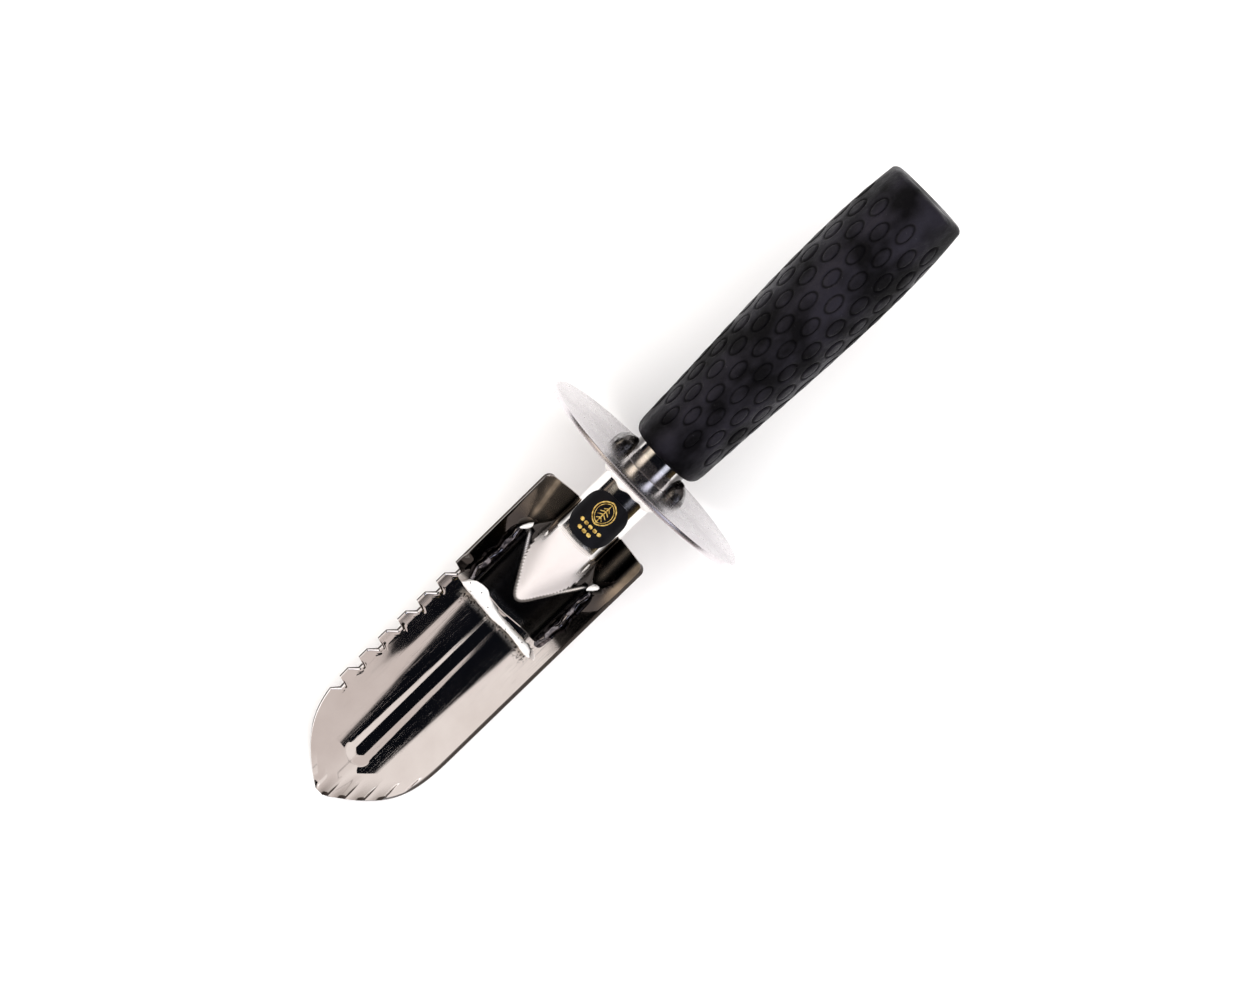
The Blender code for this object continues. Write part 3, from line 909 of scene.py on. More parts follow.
    def marks(self, x: Array, y: Array, side: Array, out: Array) -> dict[str, Array]:
        """The finish's marks on the hollow face.

        Args:
            x: places along the blade.
            y: distances from the middle.
            side: shares of the half width, from -1 on the right to 1 on the left.
            out: distances from the middle along the sheet.

        Returns:
            Heat tint, bronze, painted dark reflection with painted flute shade and a brown heat
            fringe, sooty patches, and the cut rim with painted shadow, by name, from 0 to about 1.
        """
        far = np.abs(y)
        burnt, painted_flute_shade, dark = self.point_marks(x, out)
        rear = 0.6 * falls(x, 46.0, 6.0) * rises(far, 9.0, 3.0)
        corner = 0.8 * rises(y, 19.0, 3.0) * falls(x, 62.0, 14.0)
        mouth = 0.9 * rises(x, 70.0, 2.0) * falls(x, 81.5, 4.0) * falls(far, 15.5, 2.0)
        soot_and_shade = rises(x, 73.0, 2.0) * falls(x, 83.0, 4.5) * falls(far, 18.5, 2.0)
        fringe = 0.75 * (rises(x, 75.8, 1.2) * falls(x, 81.3, 3.4) * falls(far, 17.5, 2.0))
        # Painted dark reflection: the gutter beside the tube is painted near black where its mirror
        # shows dark.
        shade_and_scorch = 0.95 * ease((np.where(y > 0, 66.4, 73.5) - x) / 1.4) * rises(far, 9.0, 2.0)
        band = 0.55 * bell(y, 15.3, 1.3) * falls(x, 42.0, 6.0)
        gold = 0.95 * rises(y, 19.6, 2.4) * falls(x, 48.0, 12.0)
        line = y + 19.6 - (x - 24.6) * 0.149
        olive = 0.30 * falls(y, -11.0, 2.0) + 0.75 * bell(line, 0.0, 0.8)
        olive = (olive + 0.25 * bell(line, 0.0, 3.0)) * falls(x, 44.0, 8.0)
        return {
            # Painted dark reflection and painted flute shade, joined with the brown heat fringe by
            # the toe weld; the painted flute shade is tinted bronze as well.
            "shade_and_scorch": np.maximum(np.maximum(shade_and_scorch, 0.56 * painted_flute_shade), fringe),
            "bronze": unit(band + gold + olive) + 0.35 * (painted_flute_shade > 0.02) + fringe,
            "heat": np.maximum(np.maximum(rear, corner), np.maximum(mouth, burnt)),
            "soot_and_shade": soot_and_shade,
            # Painted shadow in the notches and along the flute ridges, and the darker cut rim.
            "rim": np.maximum(unit(dark), np.where(side > RIM, 0.44, 0.0)),
        }

    def shape(self) -> Piece:
        """Shapes a grid into the hollow face, gives it a back and rounds the rim."""
        stations = self.stations()
        piece, u, side = Bench.grid("blade_sheet", len(stations) - 1, self.across)
        Bench.apply(piece, "SOLIDIFY", thickness=0.1, offset=-1.0)
        x = np.interp(u, np.linspace(-1, 1, len(stations)), stations)
        half = self.half_width(x)
        out = half * side + self.tooth_cut(x) * unit(1 - (side + 1) / 0.35)
        y = out * self.hollow_radius / self.back_radius
        rise, lean = self.wall(y)
        z = self.floor + rise + self.rib(x, y) + self.lobes(x, y)

        def layer(depth: Array | float) -> Array:
            """Points at a depth under the hollow face."""
            return np.stack([x, y + depth * np.sin(lean), z - depth * np.cos(lean)], axis=1)

        Bench.move_points(piece, layer(self.ground_off(x, out, half)), layer(self.thickness))
        for name, values in self.marks(x, y, side, out).items():
            under = np.where((np.abs(side) > RIM) & (name == "rim"), 1.0, 0.0)
            Bench.mark(piece, name, values, under)
        Bench.mend(piece)
        Bench.round_edges(piece, self.rim_round, 3, 50)
        return piece

    def build(self) -> None:
        """Makes the blade."""
        Bench.finish(self.shape(), PolishedSheet().material(), "blade", "mirror_steel", 35.0)


# ---- tube


@dataclass
class Tube:
    """The tube, round through the grip and guard and pressed flat where it meets the blade."""

    radius: float = 10.65
    wall: float = 1.5
    rear: float = 126.0
    ramp_start: float = 34.0
    ramp_length: float = 31.5
    shoulder: float = 9.0
    front: float = 72.0
    slit: float = 1.0
    seat_radius: float = 27.6
    crease_slope: float = 0.60
    keel_length: float = 26.0
    keel_round: float = 2.5
    rim_round: float = 0.3
    around: int = 144

    @property
    def flat_height(self) -> float:
        """Height over both walls of the flattened end."""
        return 2 * self.wall + self.slit

    @property
    def flat_half(self) -> float:
        """Half the width of the flattened end."""
        return self.radius + 0.565 * (self.radius - self.flat_height / 2)

    def tops(self, x: Array, turn: Array, inset: float) -> tuple[Array, ...]:
        """The heights that make up a section, for the same arguments as skin.

        Returns:
            Distances from the middle, the underside, the flattened top, the ramp's top, and how
            far the section is spread.
        """
        spread = rises(x, self.ramp_start, self.shoulder)
        wall = self.wall * inset
        radius = self.radius - wall
        half = radius + (self.flat_half - self.radius) * spread
        bend = 1 / ((1 - spread) / radius + spread / (self.seat_radius - wall))
        steepness = (2 * self.radius - self.flat_height) / self.ramp_length
        height = self.slit if inset else self.flat_height
        rounding = 2 * self.wall - wall
        y = half * np.cos(turn)
        low = bend - np.sqrt(over(bend**2 - y * y)) - radius
        into_edge = over(np.abs(y) - (half - rounding)) / rounding
        flat = low + height * np.sqrt(over(1 - into_edge**2))
        pointed = unit((x - self.ramp_start) / self.keel_length) ** 1.3
        arch = (1 - pointed) * (radius - np.sqrt(over(radius**2 - y * y)))
        arch = arch + pointed * (np.sqrt(y * y + self.keel_round**2) - self.keel_round)
        hump = radius - arch - steepness * over(x - self.ramp_start)
        hump = np.where(np.abs(y) < radius, hump, flat - 2.0 - (np.abs(y) - radius))
        return y, low, flat, hump, spread

    def skin(self, x: Array, turn: Array, inset: float) -> Array:
        """Points of the outer skin, or of the bore.

        Args:
            x: places along the tube.
            turn: the angle round the tube of each point, from its left side over its top.
            inset: 0 for the outer skin, 1 for the bore.

        Returns:
            The points as rows.
        """
        y, low, flat, hump, spread = self.tops(x, turn, inset)
        joined = np.maximum(flat, hump) if inset else soft_max(flat, hump, 0.3 * spread)
        top = np.where(spread > 0.001, joined, hump)
        z = np.where(np.sin(turn) > 1e-6, top, low)
        uneven = 0.8 * bell(y, -1.0, 5.0) - 0.6 * rises(y, 4.0, 8.0)
        return np.stack([x + uneven * unit((x - 66.0) / 6.0), y, z], axis=1)

    def marks(self, x: Array, turn: Array, z: Array) -> dict[str, Array]:
        """The finish's marks on the outer skin.

        Args:
            x: places along the tube.
            turn: the angle round the tube.
            z: heights.

        Returns:
            The ramp's pale painted reflection with painted highlights along the creases, heat tint,
            and the painted dark reflection on the flanks and flattened top, by name, from 0 to 1.
        """
        y, _, flat, hump, _ = self.tops(x, turn, 0.0)
        # Painted reflection: the ramp is painted pale and matte where the mirror tube shows white.
        ramp = rises(x, self.ramp_start - 2.5, 4.0) * ease((hump - flat + 0.15) / 0.5)
        flank = rises(np.abs(y), 7.4, 1.2)
        # Painted dark reflection on the flanks: from x 22 on, off the ramp, and behind the guard.
        flank_shade = flank * (rises(x, 22.0, 4.0) * (1 - ramp) + falls(x, -1.0, 1.5))
        # Painted dark reflection on the flattened top.
        folds = 0.9 * rises(x, self.ramp_start + 4.0, 5.0) * (1 - ramp) * falls(x, 70.5, 2.0)
        # Painted highlight: a pale line along each crease running forward from a shoulder; it also
        # breaks the painted dark reflection.
        crease_glint = bell(np.abs(y) + (x - 44.5) * self.crease_slope, 13.9, 0.42)
        crease_glint = crease_glint * rises(x, 43.5, 2.0) * falls(x, 59.0, 9.0)
        near_guard = falls(x, -1.0, 2.0) * rises(z, -4.0, 8.0)
        ground = np.maximum(ramp * (1 - flank * falls(x, 46.0, 8.0)), 0.75 * crease_glint)
        return {
            "ground": ground * (np.sin(turn) > 0.0),
            "heat": np.maximum(0.85 * near_guard, 0.9 * rises(x, 66.0, 5.0)),
            "soot_and_shade": unit(np.maximum(flank_shade, folds)) * (0.93 - 0.85 * crease_glint),
        }

    def shape(self) -> Piece:
        """Wraps a grid into the outer skin, runs on round the front rim and back down the bore."""
        outer = [-self.rear, -60.0, -9.0, -5.0, 0.0, *np.linspace(6, self.ramp_start, 20)]
        outer += [*np.linspace(self.ramp_start, self.front, 96)[1:]]
        along = np.array([*outer, *outer[::-1]])
        piece, row, turn = Bench.wrapped("shaft_tube_skin", len(along), self.around)
        x, outside = along[row], row < len(outer)
        skin, bore = self.skin(x, turn, 0.0), self.skin(x, turn, 1.0)
        points = np.where(outside[:, None], skin, bore)
        Bench.move_points(piece, points)
        for name, values in self.marks(x, turn, points[:, 2]).items():
            Bench.mark(piece, name, values * outside if name == "ground" else values)
        Bench.mend(piece)
        with Bench.editing(piece, "EDGE"):
            Bench.pick_open_edges()
            bpy.ops.mesh.bridge_edge_loops()
            Bench.face_out()
        Bench.round_edges(piece, self.rim_round, 3, 60)
        return piece

    def build(self) -> None:
        """Makes the tube."""
        Bench.finish(self.shape(), TUBE_STEEL.material(), "shaft_tube", "polished_steel", 30.0)


# ---- guard


@dataclass
class Guard:
    """The round plate."""

    radius: float = 45.0
    bore: float = 10.95
    thickness: float = 2.0
    edge_round: float = 0.5
    around: int = 192

    def build(self) -> None:
        """Makes the plate: a disc, inset to its bore, opened, and rounded at its rims."""
        Bench.pick()
        bpy.ops.mesh.primitive_cylinder_add(
            vertices=self.around, radius=self.radius, depth=self.thickness,
            rotation=(0.0, pi / 2, 0.0),
        )
        piece = bpy.context.object
        piece.name = "guard_plate"
        bpy.ops.object.transform_apply(location=False, rotation=True, scale=False)
        with Bench.editing(piece, "FACE"):
            bpy.ops.object.mode_set(mode="OBJECT")
            for face in piece.data.polygons:
                face.select = abs(face.normal.x) > 0.9
            bpy.ops.object.mode_set(mode="EDIT")
            bpy.ops.mesh.inset(thickness=self.radius - self.bore, depth=0.0)
            bpy.ops.mesh.bridge_edge_loops()
            Bench.face_out()
        Bench.round_edges(piece, self.edge_round, 4, 60)
        Bench.finish(piece, DISC_STEEL.material(), "guard_disc", "brushed_steel", 30.0)


# ---- grip


@dataclass
class Grip:
    """The rubber sleeve with its rows of oval pads."""

    start: float = 9.4
    length: float = 129.94
    bore: float = 10.95
    bore_depth: float = 117.0
    front_wall: float = 4.05
    fat_wall: float = 7.55
    butt_wall: float = 5.55
    fattest: float = 0.72
    front_round: float = 6.0
    front_lip: float = 3.3
    butt_round: float = 3.0
    pad_rows: int = 16
    pad_start: float = 7.5
    pad_pitch: float = 11.4
    pad_radius: float = 17.0
    pad_half_length: float = 3.75
    pad_half_width: float = 1.9
    pad_lift: float = 0.18
    groove_depth: float = 0.45
    groove_width: float = 0.26
    around: int = 280
    along: int = 316

    def radius(self, along: Array) -> Array:
        """The sleeve's plain outer radius at a distance behind its front."""
        share = along / self.length
        fuller = ease(share / self.fattest) ** 0.75
        front = self.bore + self.front_wall + (self.fat_wall - self.front_wall) * fuller
        past = unit((share - self.fattest) / (1 - self.fattest))
        rear = self.bore + self.fat_wall - (self.fat_wall - self.butt_wall) * past**2.2
        return np.where(share < self.fattest, front, rear)

    def profile(self) -> tuple[Array, Array, Array]:
        """The turned outline, from the bore's bottom round the front to the butt's centre.

        Returns:
            Distances behind the front, radii, and 1 where pads may sit, for each point.
        """
        turns = np.linspace(0, pi / 2, 12)
        first = float(self.radius(np.array(self.front_round)))
        lip_x = self.front_round * (1 - np.sin(turns[::-1]))
        lip_r = first - self.front_lip + self.front_lip * np.cos(turns[::-1])
        straight_end = self.length - self.butt_round
        body = np.linspace(self.front_round, straight_end, self.along)[1:]
        last = float(self.radius(body[-1]))
        butt_x = straight_end + self.butt_round * np.sin(turns[1:])
        butt_r = last - self.butt_round * (1 - np.cos(turns[1:]))
        cap_r = butt_r[-1] * np.array([0.8, 0.5, 0.2, 0.0])
        bore_x = np.array([self.bore_depth, self.bore_depth, 40.0, 0.0])
        bore_r = np.array([0.0, self.bore, self.bore, self.bore])
        x = np.concatenate([bore_x, lip_x, body, butt_x, np.full(4, self.length)])
        r = np.concatenate([bore_r, lip_r, self.radius(body), butt_r, cap_r])
        skin = np.zeros_like(x)
        first_body = len(lip_x)
        skin[first_body:first_body + len(body) + 6] = 1.0
        return x, r, skin

    def pads(self, along: Array, turn: Array) -> tuple[Array, Array]:
        """The pads' lift and groove at each point of the skin.

        Args:
            along: distance behind the front.
            turn: angle round the grip.

        Returns:
            How much the skin rises, and how much of a groove is there, from 0 to 1.
        """
        row_turn = turn / (2 * pi) * self.pad_rows
        row = np.floor(row_turn)
        odd = row % 2 > 0.5
        off_round = (row_turn - row - 0.5) * 2 * pi / self.pad_rows * self.pad_radius
        place = (along - self.pad_start - np.where(odd, self.pad_pitch / 2, 0.0)) / self.pad_pitch
        off_along = (place - np.floor(place) - 0.5) * self.pad_pitch
        count = np.floor((self.length - 12.0) / self.pad_pitch) - 1
        real = (place >= 0.0) & (np.floor(place) <= count - odd)
        reach = np.hypot(off_along / self.pad_half_length, off_round / self.pad_half_width)
        outside = (reach + 1e-6 - 1) * self.pad_half_width
        return ease(0.5 - outside / 0.5) * real, bell(outside, 0.15, self.groove_width) * real

    def build(self) -> None:
        """Makes the sleeve."""
        along, radius, skin = self.profile()
        piece, row, turn = Bench.wrapped("grip_rubber_sleeve", len(along), self.around)
        lift, groove = self.pads(along[row], np.mod(turn, 2 * pi))
        groove = groove * skin[row]
        raised = skin[row] * (self.pad_lift * (lift - 1.0))
        out = radius[row] + raised - self.groove_depth * groove
        Bench.move_points(piece, rolled(-self.start - along[row], out, turn))
        # The groove mark also carries the painted shade in the grooves.
        Bench.mark(piece, "groove", groove)
        Bench.mend(piece)
        Bench.finish(piece, MouldedRubber().material(), "grip_sleeve", "grip_rubber", 50.0)


# ---- label


@dataclass
class Label:
    """The round-cornered sticker over the tube's top, with a printed leaf and plain bars."""

    start: float = 12.1
    length: float = 19.5
    inner: float = 10.68
    thickness: float = 0.22
    corner: float = 7.5
    reach: float = 53.0
    leaf_middle: float = -3.2
    print_lift: float = 0.02
    print_thickness: float = 0.03

    def film(self) -> None:
        """Makes the black film."""
        piece, u, v = Bench.grid("label_film", 60, 72)
        Bench.apply(piece, "SOLIDIFY", thickness=0.1, offset=-1.0)
        step = self.length * (1 - np.cos(pi * ((u + 1) / 2))) / 2
        from_end = np.minimum(np.minimum(step, self.length - step), self.corner)
        cut_back = self.corner - np.sqrt(self.corner**2 - (self.corner - from_end) ** 2)
        turn = (radians(self.reach) - cut_back / self.inner) * v
        x = self.start + step
        outer = self.inner + self.thickness
        Bench.move_points(piece, rolled(x, outer, turn), rolled(x, self.inner, turn))
        Bench.mend(piece)
        Bench.finish(piece, PrintedVinyl().material(), "label", "label_vinyl", 40.0)

    def leaf(self, half_x: float, half_y: float, line: float) -> Piece:
        """A flat leaf-shaped ring, pointed at both ends.

        Args:
            half_x: half its length.
            half_y: half its width.
            line: the width of its outline.

        Returns:
            The ring, as a strip of faces.
        """
        piece, u, v = Bench.grid("leaf_ring", 96, 1)
        turn = (u + 1) * pi
        grow = 1 + v * line / (2 * half_y)
        x = self.leaf_middle + half_x * np.cos(turn) * grow
        y = half_y * np.sin(turn) * np.abs(np.sin(turn)) ** 0.35 * grow
        Bench.move_points(piece, np.stack([x, y, np.zeros_like(x)], axis=1))
        return piece

    @staticmethod
    def bar(start: tuple[float, float], end: tuple[float, float], line: float) -> Piece:
        """A flat straight stroke between two points."""
        piece, u, v = Bench.grid("bar", 12, 1)
        u, v = u[:, None], v[:, None]
        a, b = np.array(start), np.array(end)
        way = (b - a) / np.linalg.norm(b - a)
        taper = line / 2 * np.clip(3.0 * (1 - np.abs(u)), 0.35, 1.0)
        places = a + (b - a) * ((u + 1) / 2) + v * np.array([-way[1], way[0]]) * taper
        Bench.move_points(piece, np.concatenate([places, np.zeros((len(places), 1))], axis=1))
        return piece

    def emblem(self) -> None:
        """Makes the gold print: a leaf with its veins, and two rows of short bars."""
        strokes = [self.leaf(4.9, 4.0, 0.42), self.leaf(4.1, 3.1, 0.22)]
        strokes.append(self.bar((-7.2, 0.0), (1.6, 0.0), 0.42))
        for step, reach in enumerate((1.3, 1.9, 1.9, 1.3)):
            root = -5.6 + step * 1.35
            for side in (reach, -reach):
                strokes.append(self.bar((root, 0.0), (root + 1.2, side), 0.32))
        for x, count, low, high, pitch in ((3.6, 5, -4.9, -3.3, 2.05), (6.2, 3, -3.6, -1.9, 2.15)):
            for step in range(count):
                strokes.append(self.bar((x, low + step * pitch), (x, high + step * pitch), 1.3))
        Bench.pick(*strokes)
        bpy.ops.object.join()
        piece = bpy.context.object
        piece.name = "label_emblem"
        points = Bench.coordinates(piece)
        out = self.inner + self.thickness + self.print_lift + points[:, 2]
        x = self.start + self.length / 2 + points[:, 0]
        Bench.move_points(piece, rolled(x, out, points[:, 1] / self.inner))
        Bench.apply(piece, "SOLIDIFY", thickness=self.print_thickness, offset=1.0)
        Bench.finish(piece, GoldFoil().material(), "", "label_vinyl", 40.0)

    def build(self) -> None:
        """Makes the film and its print."""
        self.film()
        self.emblem()


# ---- welds


def round_section(turn: Array) -> tuple[Array, Array]:
    """The cosine and sine of an angle, or zeros where it is negative and asks for the middle."""
    return np.where(turn < 0, 0.0, np.cos(turn)), np.where(turn < 0, 0.0, np.sin(turn))


def blunt(share: Array, power: int) -> Array:
    """A bead's size along it, 1 in the middle and 0 at its ends, blunter with a higher power."""
    return np.sqrt(over(1 - share**power))


@dataclass
class Bead:
    """A weld bead carried along a line, wrapped from a grid and closed at both ends."""

    name: str
    node: str
    slot: str
    finish: WeldBead
    section: Section
    along: int = 120
    around: int = 40
    lumps: float = 0.12
    lump_size: float = 1.6
    stretch: Color = (1.0, 1.0, 1.0)
    seed: float = 3.7

    def build(self) -> None:
        """Makes the bead: section gives points for a share along it and an angle round it."""
        piece, share, v = Bench.grid(self.name, self.along, self.around)
        turn = (v + 1) * pi
        points = self.section(share, turn)
        away = points - self.section(share, np.full_like(turn, -1.0))
        size = np.linalg.norm(away, axis=1, keepdims=True) + 1e-9
        lumps = noise_at(points * np.array(self.stretch), self.lump_size, self.seed)[:, None]
        wobble = self.lumps * lumps * np.minimum(size, 1.0)
        Bench.move_points(piece, points + away / size * wobble)
        Bench.mend(piece, 0.002)
        with Bench.editing(piece, "EDGE"):
            Bench.pick_open_edges()
            bpy.ops.mesh.edge_face_add()
        Bench.mend(piece, 0.002)
        Bench.finish(piece, self.finish.material(), self.node, self.slot, 60.0)


@dataclass
class Welds:
    """All the welds: round the guard, across the tube's toe and along its flattened edges."""

    tube: Tube
    blade: Blade
    guard_face: float = 1.0
    clear: float = 0.02
    off_tube: float = 0.05
    ring_reach: float = 7.75
    ring_rise: float = 3.5
    tack_reach: float = 6.4
    tack_rise: float = 6.2
    tack_turn: float = 19.0
    side_middle: float = 58.6
    side_half: float = 14.2
    side_gap: float = 0.9
    glint_place: tuple[float, float] = (43.6, 15.4)
    glint_half: float = 2.9
    toe_half: float = 18.4
    toe_rear: tuple[tuple[float, float], ...] = (
        (-18.4, 74.9), (-16.8, 71.9), (-14.5, 70.6), (-12.0, 70.3), (-9.5, 70.6),
        (-7.5, 71.3), (-5.5, 72.5), (-3.5, 73.7), (-1.0, 74.5), (2.0, 74.8), (7.0, 75.0),
        (11.0, 74.8), (14.0, 74.2), (16.5, 74.4), (18.4, 76.4),
    )
    toe_front: tuple[tuple[float, float], ...] = (
        (-18.4, 75.2), (-16.8, 76.2), (-13.0, 76.6), (-9.0, 77.1), (-4.5, 77.7),
        (-0.5, 78.1), (3.0, 77.5), (7.0, 77.2), (11.0, 77.4), (15.5, 78.0), (17.5, 77.8),
        (18.4, 76.7),
    )

    def on_seat(self, x: Array, y: Array, hand: float, height: Array) -> Array:
        """Points at heights over the gutter's hollow face, on its left or right."""
        seat = self.blade.floor + self.blade.wall(y)[0]
        return np.stack([x, hand * y, seat + height], axis=1)

    def toe(self, share: Array, turn: Array) -> Array:
        """The wavy bead across the tube's end, stout on the right, thin on the left."""
        y = self.toe_half * share
        rear = np.interp(y, *zip(*self.toe_rear))
        front = np.interp(y, *zip(*self.toe_front))
        ends = blunt(share, 8)
        across, rise = round_section(turn)
        x = (front + rear) / 2 + across * ((front - rear) / 2 * ends)
        top = 3.6 + 2.1 * (1 - rises(share, -0.42, 0.4))
        lip = 72.6 + 0.9 * rises(y, -4.0, 5.0) * falls(y, 12.0, 5.0) - x
        foot = 0.45 + 3.6 * unit(lip / 1.8)
        up = np.where(rise > 0, over(rise) ** 0.8 * (top - foot) * ends, rise * 0.5)
        return self.on_seat(x, y, 1.0, foot + up)

    def shoulder(self, hand: float) -> Section:
        """A short slanting bright blob at one of the tube's pinched shoulders: a painted highlight,
        shaped like a bead.
        """

        def section(share: Array, turn: Array) -> Array:
            """Points of the bright blob."""
            ends = blunt(share, 2) * (1.1 - 0.3 * share)
            across, rise = round_section(turn)
            x = self.glint_place[0] + self.glint_half * share
            y = self.glint_place[1] - hand * 1.9 * share + across * 1.25 * ends
            up = rise * ends * np.where(rise > 0, 1.9, 0.8)
            return self.on_seat(x, y, hand, 1.1 + up)

        return section

    def side(self, hand: float) -> Section:
        """The bead along a flattened edge: hand is 1 for the left one, -1 for the right."""

        def section(share: Array, turn: Array) -> Array:
            """Points of the bead."""
            ends = blunt(share, 6)
            across, rise = round_section(turn)
            weave = 0.35 * np.sin(5.0 * share + hand) + 0.2 * np.sin(13.0 * share)
            y = self.tube.flat_half + self.side_gap + weave + across * 1.6 * ends
            height = np.where(rise > 0, 2.2 + 0.4 * np.sin(8.0 * share), 0.4)
            x = self.side_middle + self.side_half * share
            return self.on_seat(x, y, hand, 0.3 + rise * ends * height)

        return section

    def tack(self, hand: float) -> Section:
        """The lump in the corner between guard and tube, on the handle's side."""

        def section(share: Array, turn: Array) -> Array:
            """Points of the lump."""
            wide = (0.25 + 0.75 * blunt(share, 2)) * np.where(turn < 0, 0.0, 1.0)
            corner = over(turn)
            back = over(np.sin(corner)) * self.tack_reach * wide
            out = over(np.cos(corner)) * self.tack_rise * wide - over(-np.cos(corner)) * 0.25
            angle = hand * pi / 2 - radians(self.tack_turn) * share
            start = -self.guard_face - self.clear
            return rolled(start - back, self.tube.radius + self.off_tube + out, angle)

        return section

    def ring(self) -> None:
        """The polished fillet all round the tube on the guard's blade side."""
        piece, u, v = Bench.grid("guard_fillet_ring", 160, 24)
        angle, turn = (u + 1) * pi, (v + 1) * pi
        grow = 1.0 - 0.05 * (1 + np.sin(5 * angle)) - 0.04 * (1 + np.sin(11 * angle + 1.0))
        forward = over(np.sin(turn)) ** 1.1 * self.ring_reach * grow
        out = np.clip(np.cos(turn), -0.02, None) * self.ring_rise * grow
        x = self.guard_face + self.clear + forward
        Bench.move_points(piece, rolled(x, self.tube.radius + self.off_tube + out, angle))
        Bench.mend(piece, 0.002)
        Bench.finish(piece, BRIGHT_WELD.material(), "guard_fillet_weld", "weld_metal", 60.0)

    def build(self) -> None:
        """Makes every weld, and the bright blobs at the shoulders that are painted highlights."""
        metal = "weld_metal"
        Bead("toe_weld_bead", "toe_weld", metal, BRIGHT_WELD, self.toe, lumps=0.2).build()
        for name, hand in (("left", 1.0), ("right", -1.0)):
            Bead(
                f"side_weld_bead_{name}", f"side_weld_{name}", metal, WRINKLED_WELD,
                self.side(hand), lumps=0.16, lump_size=1.1, stretch=(0.22, 1.0, 1.0),
            ).build()
            # Painted highlight: a near-white blob at each pinched shoulder, with no CAD node of its
            # own.
            Bead(
                f"shoulder_glint_{name}", "", metal, BRIGHT_WELD, self.shoulder(hand), 40, 24
            ).build()
            Bead(
                f"guard_tack_{name}", f"guard_weld_{name}", "dark_weld", DARK_WELD,
                self.tack(hand), lumps=0.4, lump_size=2.6,
            ).build()
        self.ring()


# ---- studio


@dataclass(frozen=True)
class Strip:
    """A narrow panel of light in the dark room: angles in degrees, reaches as shares ahead."""

    center: float
    slant: float
    half: float
    low: float
    high: float
    glow: Color


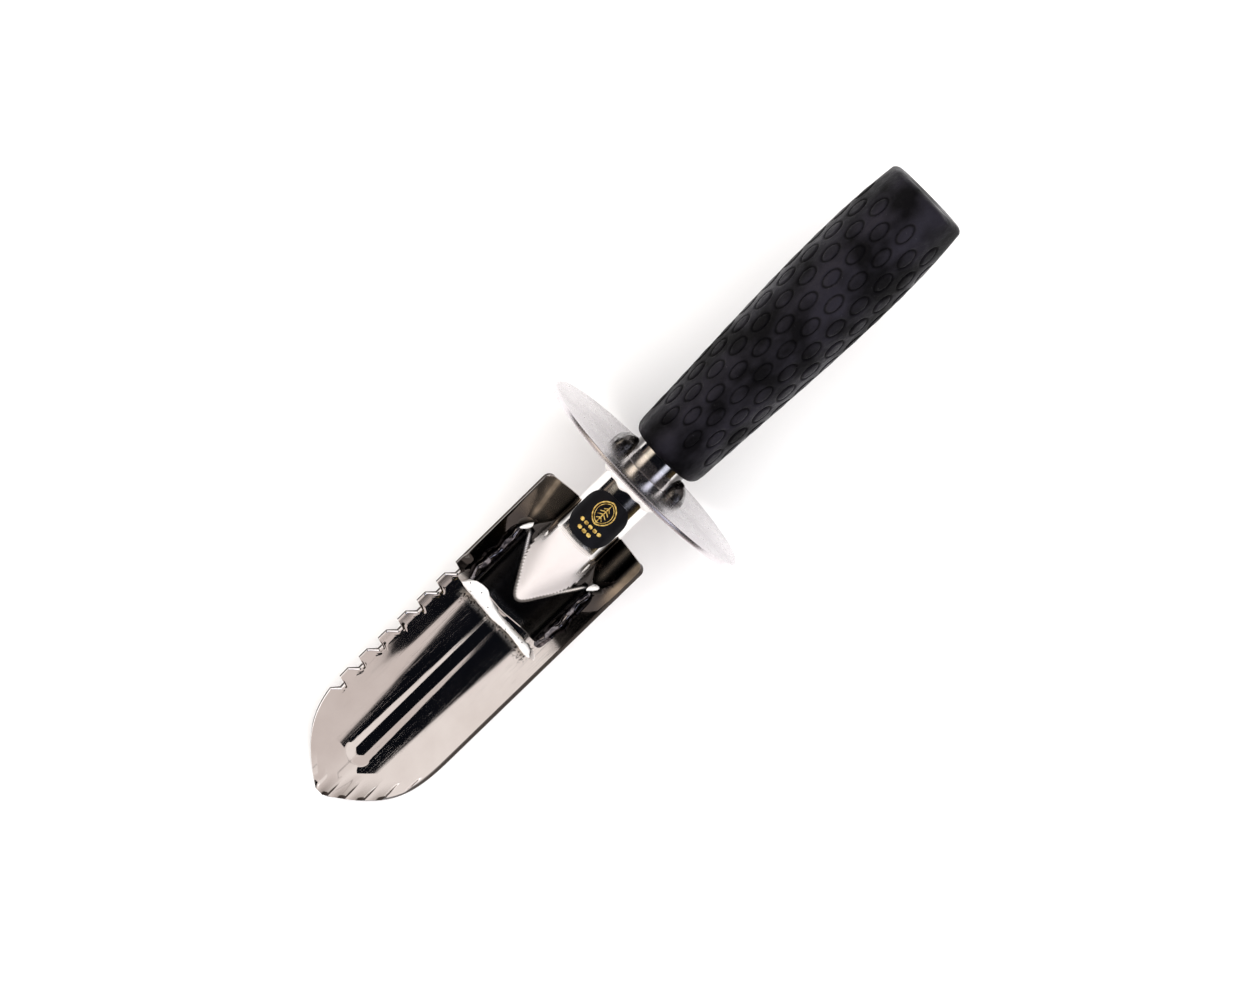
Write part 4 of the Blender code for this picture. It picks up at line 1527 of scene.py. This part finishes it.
@dataclass
class Studio:
    """The pale floor, the light round the tool and the camera over it."""

    floor_size: float = 6.0
    floor_color: Color = (0.90, 0.90, 0.90)
    view_distance: float = 1.334
    view_tilt: float = 8.8
    view_roll: float = 44.2
    view_shift_right: float = 0.0071
    view_shift_up: float = 0.0092
    lens: float = 108.8
    right_wall: tuple[tuple[float, float], ...] = (
        (0.0, 84.0), (0.25, 73.0), (0.52, 52.0), (0.63, 45.0), (0.75, 39.5), (0.85, 28.0),
        (0.95, 0.0),
    )
    left_wall: tuple[tuple[float, float], ...] = (
        (0.0, 92.0), (0.45, 92.0), (0.485, 54.0), (0.59, 43.0), (0.695, 34.0), (0.75, 30.5),
        (0.85, 20.0), (0.95, 0.0),
    )
    wall_scale: tuple[float, float] = (0.1, 0.3)
    walls_from: tuple[float, float] = (0.1905, 0.1935)
    door_middle: float = 76.0
    door_half: float = 15.0
    door_reach: float = 0.2265
    right_light: Color = (0.86, 0.80, 0.765)
    left_light: Color = (0.66, 0.59, 0.56)
    room: Color = (0.0035, 0.0040, 0.0060)
    strips: tuple[Strip, ...] = (
        Strip(-66.0, 0.0, 8.0, -0.10, 0.178, (0.20, 0.155, 0.125)),
        Strip(-118.0, 0.0, 22.0, 0.05, 0.172, (0.30, 0.17, 0.06)),
        Strip(92.0, 0.0, 34.0, 0.05, 0.185, (0.060, 0.042, 0.018)),
        Strip(193.7, -667.0, 3.2, 0.05, 0.180, (0.45, 0.37, 0.22)),
        Strip(-45.0, 0.0, 20.0, -0.30, 0.143, (1.7, 1.5, 1.25)),
        Strip(42.0, 0.0, 17.0, -0.30, 0.143, (1.3, 1.35, 1.6)),
    )
    top_watts: float = 92.0
    fill_watts: float = 34.0

    def floor(self) -> None:
        """Lays the floor."""
        Bench.pick()
        bpy.ops.mesh.primitive_plane_add(size=self.floor_size)
        floor = bpy.context.object
        floor.name = "studio_floor"
        desk = NodeDesk.for_material("studio_floor")
        mottle = desk.noise(desk.add("TexCoord").outputs["Object"], 2.0, 2.0)
        low = tuple(0.985 * c for c in self.floor_color)
        color = desk.ramp(mottle, (0.3, low), (0.7, self.floor_color))
        floor.data.materials.append(desk.dress(base_color=color, roughness=0.9))

    @staticmethod
    def wall(
        desk: NodeDesk, aside: Socket, scale: Socket, stops: Sequence[tuple[float, float]]
    ) -> Socket:
        """1 where a direction meets a wall of light, whose edge follows a scale through stops.

        Args:
            desk: the world's nodes.
            aside: the direction's angle towards the wall.
            scale: how far ahead the direction points, from 0 to 1.
            stops: the edge's places: a share of the scale and an angle in degrees.

        Returns:
            The wall's socket, from 0 to 1.
        """
        # A ramp's colours stay below 1 when they hold half the angle.
        halves = [(share, (radians(degrees) / 2.0,) * 3) for share, degrees in stops]
        edge = desk.times(desk.ramp(scale, *halves), 2.0)
        soft = radians(2.0)
        return desk.step(desk.gap(aside, edge), -soft, soft)

    def strip(self, desk: NodeDesk, strip: Strip, ahead: Socket, to_left: Socket) -> Socket:
        """1 where a direction meets a strip of light."""
        line = desk.scaled(ahead, radians(strip.slant), radians(strip.center))
        half = radians(strip.half)
        near = desk.step(desk.math("ABSOLUTE", desk.gap(to_left, line)), half, half / 5)
        here = desk.times(
            desk.step(ahead, strip.high, strip.high - 0.006),
            desk.step(ahead, strip.low, strip.low + 0.006),
        )
        return desk.times(near, here)

    def surroundings(self) -> None:
        """A dark room with a bright wall on each side, a doorway, strips and a dim light behind."""
        world = bpy.data.worlds.new("studio")
        bpy.context.scene.world = world
        world.use_nodes = True
        desk = NodeDesk(world.node_tree)
        way = desk.add("TexCoord").outputs["Generated"]
        turn = TOOL.turn()
        ahead, left, up = (
            desk.add("VectorMath", {0: way, 1: tuple(turn.col[i][:3])}, operation="DOT_PRODUCT")
            .outputs["Value"] for i in range(3)
        )
        to_left = desk.math("ARCTAN2", left, up)
        low, high = self.wall_scale
        scale = desk.add("MapRange", {"Value": ahead, "From Min": low, "From Max": high})
        scale = scale.outputs["Result"]
        right_wall = self.wall(desk, desk.times(to_left, -1.0), scale, self.right_wall)
        left_wall = self.wall(desk, to_left, scale, self.left_wall)
        off = desk.gap(to_left, radians(self.door_middle))
        off = desk.math("DIVIDE", off, radians(self.door_half))
        bulge = desk.scaled(desk.times(off, off), -0.010, self.door_reach)
        door = desk.step(desk.gap(bulge, ahead), -0.0012, 0.0012)
        door = desk.times(door, desk.step(desk.math("ABSOLUTE", off), 1.05, 0.80))
        left_wall = desk.times(left_wall, desk.gap(1.0, door))
        wide = desk.step(ahead, *self.walls_from)
        sides = desk.math("MAXIMUM", desk.times(right_wall, wide), desk.times(left_wall, wide))
        behind = desk.times(desk.step(ahead, -0.25, -0.8), 0.5)
        lights = desk.mix(desk.step(to_left, -0.5, 0.5), self.right_light, self.left_light)
        room = self.room
        for strip in self.strips:
            room = desk.mix(self.strip(desk, strip, ahead, to_left), room, strip.glow)
        background = world.node_tree.nodes["Background"]
        color = desk.mix(desk.math("MAXIMUM", sides, behind), room, lights)
        desk.feed(background.inputs["Color"], color)
        background.inputs["Strength"].default_value = 1.0

    def lamps(self) -> None:
        """Hangs the soft lamps for the floor and the dull surfaces, unseen by polished ones."""
        for name, place, size, watts in (
            ("top_lamp", (0.15, -0.25, 2.6), 4.0, self.top_watts),
            ("fill_lamp", (-0.9, 0.9, 2.0), 3.0, self.fill_watts),
        ):
            data = bpy.data.lights.new(name, "AREA")
            data.shape = "DISK"
            data.size = size
            data.energy = watts
            lamp = bpy.data.objects.new(name, data)
            bpy.context.scene.collection.objects.link(lamp)
            lamp.location = place
            lamp.rotation_euler = Vector(place).to_track_quat("Z", "Y").to_euler()
            lamp.visible_glossy = False

    def camera(self) -> None:
        """Sets the camera over the tool, which lies from low left to high right in its view."""
        tilt = radians(self.view_tilt)
        roll = radians(self.view_roll)
        turn = TOOL.turn().to_3x3()
        back = turn @ Vector((-sin(tilt), 0.0, cos(tilt)))
        along = turn @ Vector((cos(tilt), 0.0, sin(tilt)))
        left = turn @ Vector((0.0, 1.0, 0.0))
        right = -cos(roll) * along + sin(roll) * left
        up = -sin(roll) * along - cos(roll) * left
        data = bpy.data.cameras.new("camera")
        data.lens = self.lens
        data.clip_start = 0.05
        data.clip_end = 50.0
        camera = bpy.data.objects.new("camera", data)
        bpy.context.scene.collection.objects.link(camera)
        place = TOOL.origin + back * self.view_distance
        place = place - right * self.view_shift_right - up * self.view_shift_up
        axes = Matrix((right, up, back)).transposed().to_4x4()
        camera.matrix_world = Matrix.Translation(place) @ axes
        bpy.context.scene.camera = camera

    def build(self) -> None:
        """Sets the studio up."""
        self.floor()
        self.surroundings()
        self.lamps()
        self.camera()
        bpy.context.scene.view_settings.view_transform = "Standard"


def main() -> None:
    """Builds the tool piece by piece, then the studio."""
    logging.basicConfig(level=logging.INFO, format="%(message)s")
    blade = Blade()
    tube = Tube()
    for part in (blade, tube, Guard(), Grip(), Label(), Welds(tube, blade), Studio()):
        LOG.info("building %s", type(part).__name__.lower())
        part.build()


if __name__ == "__main__":
    main()
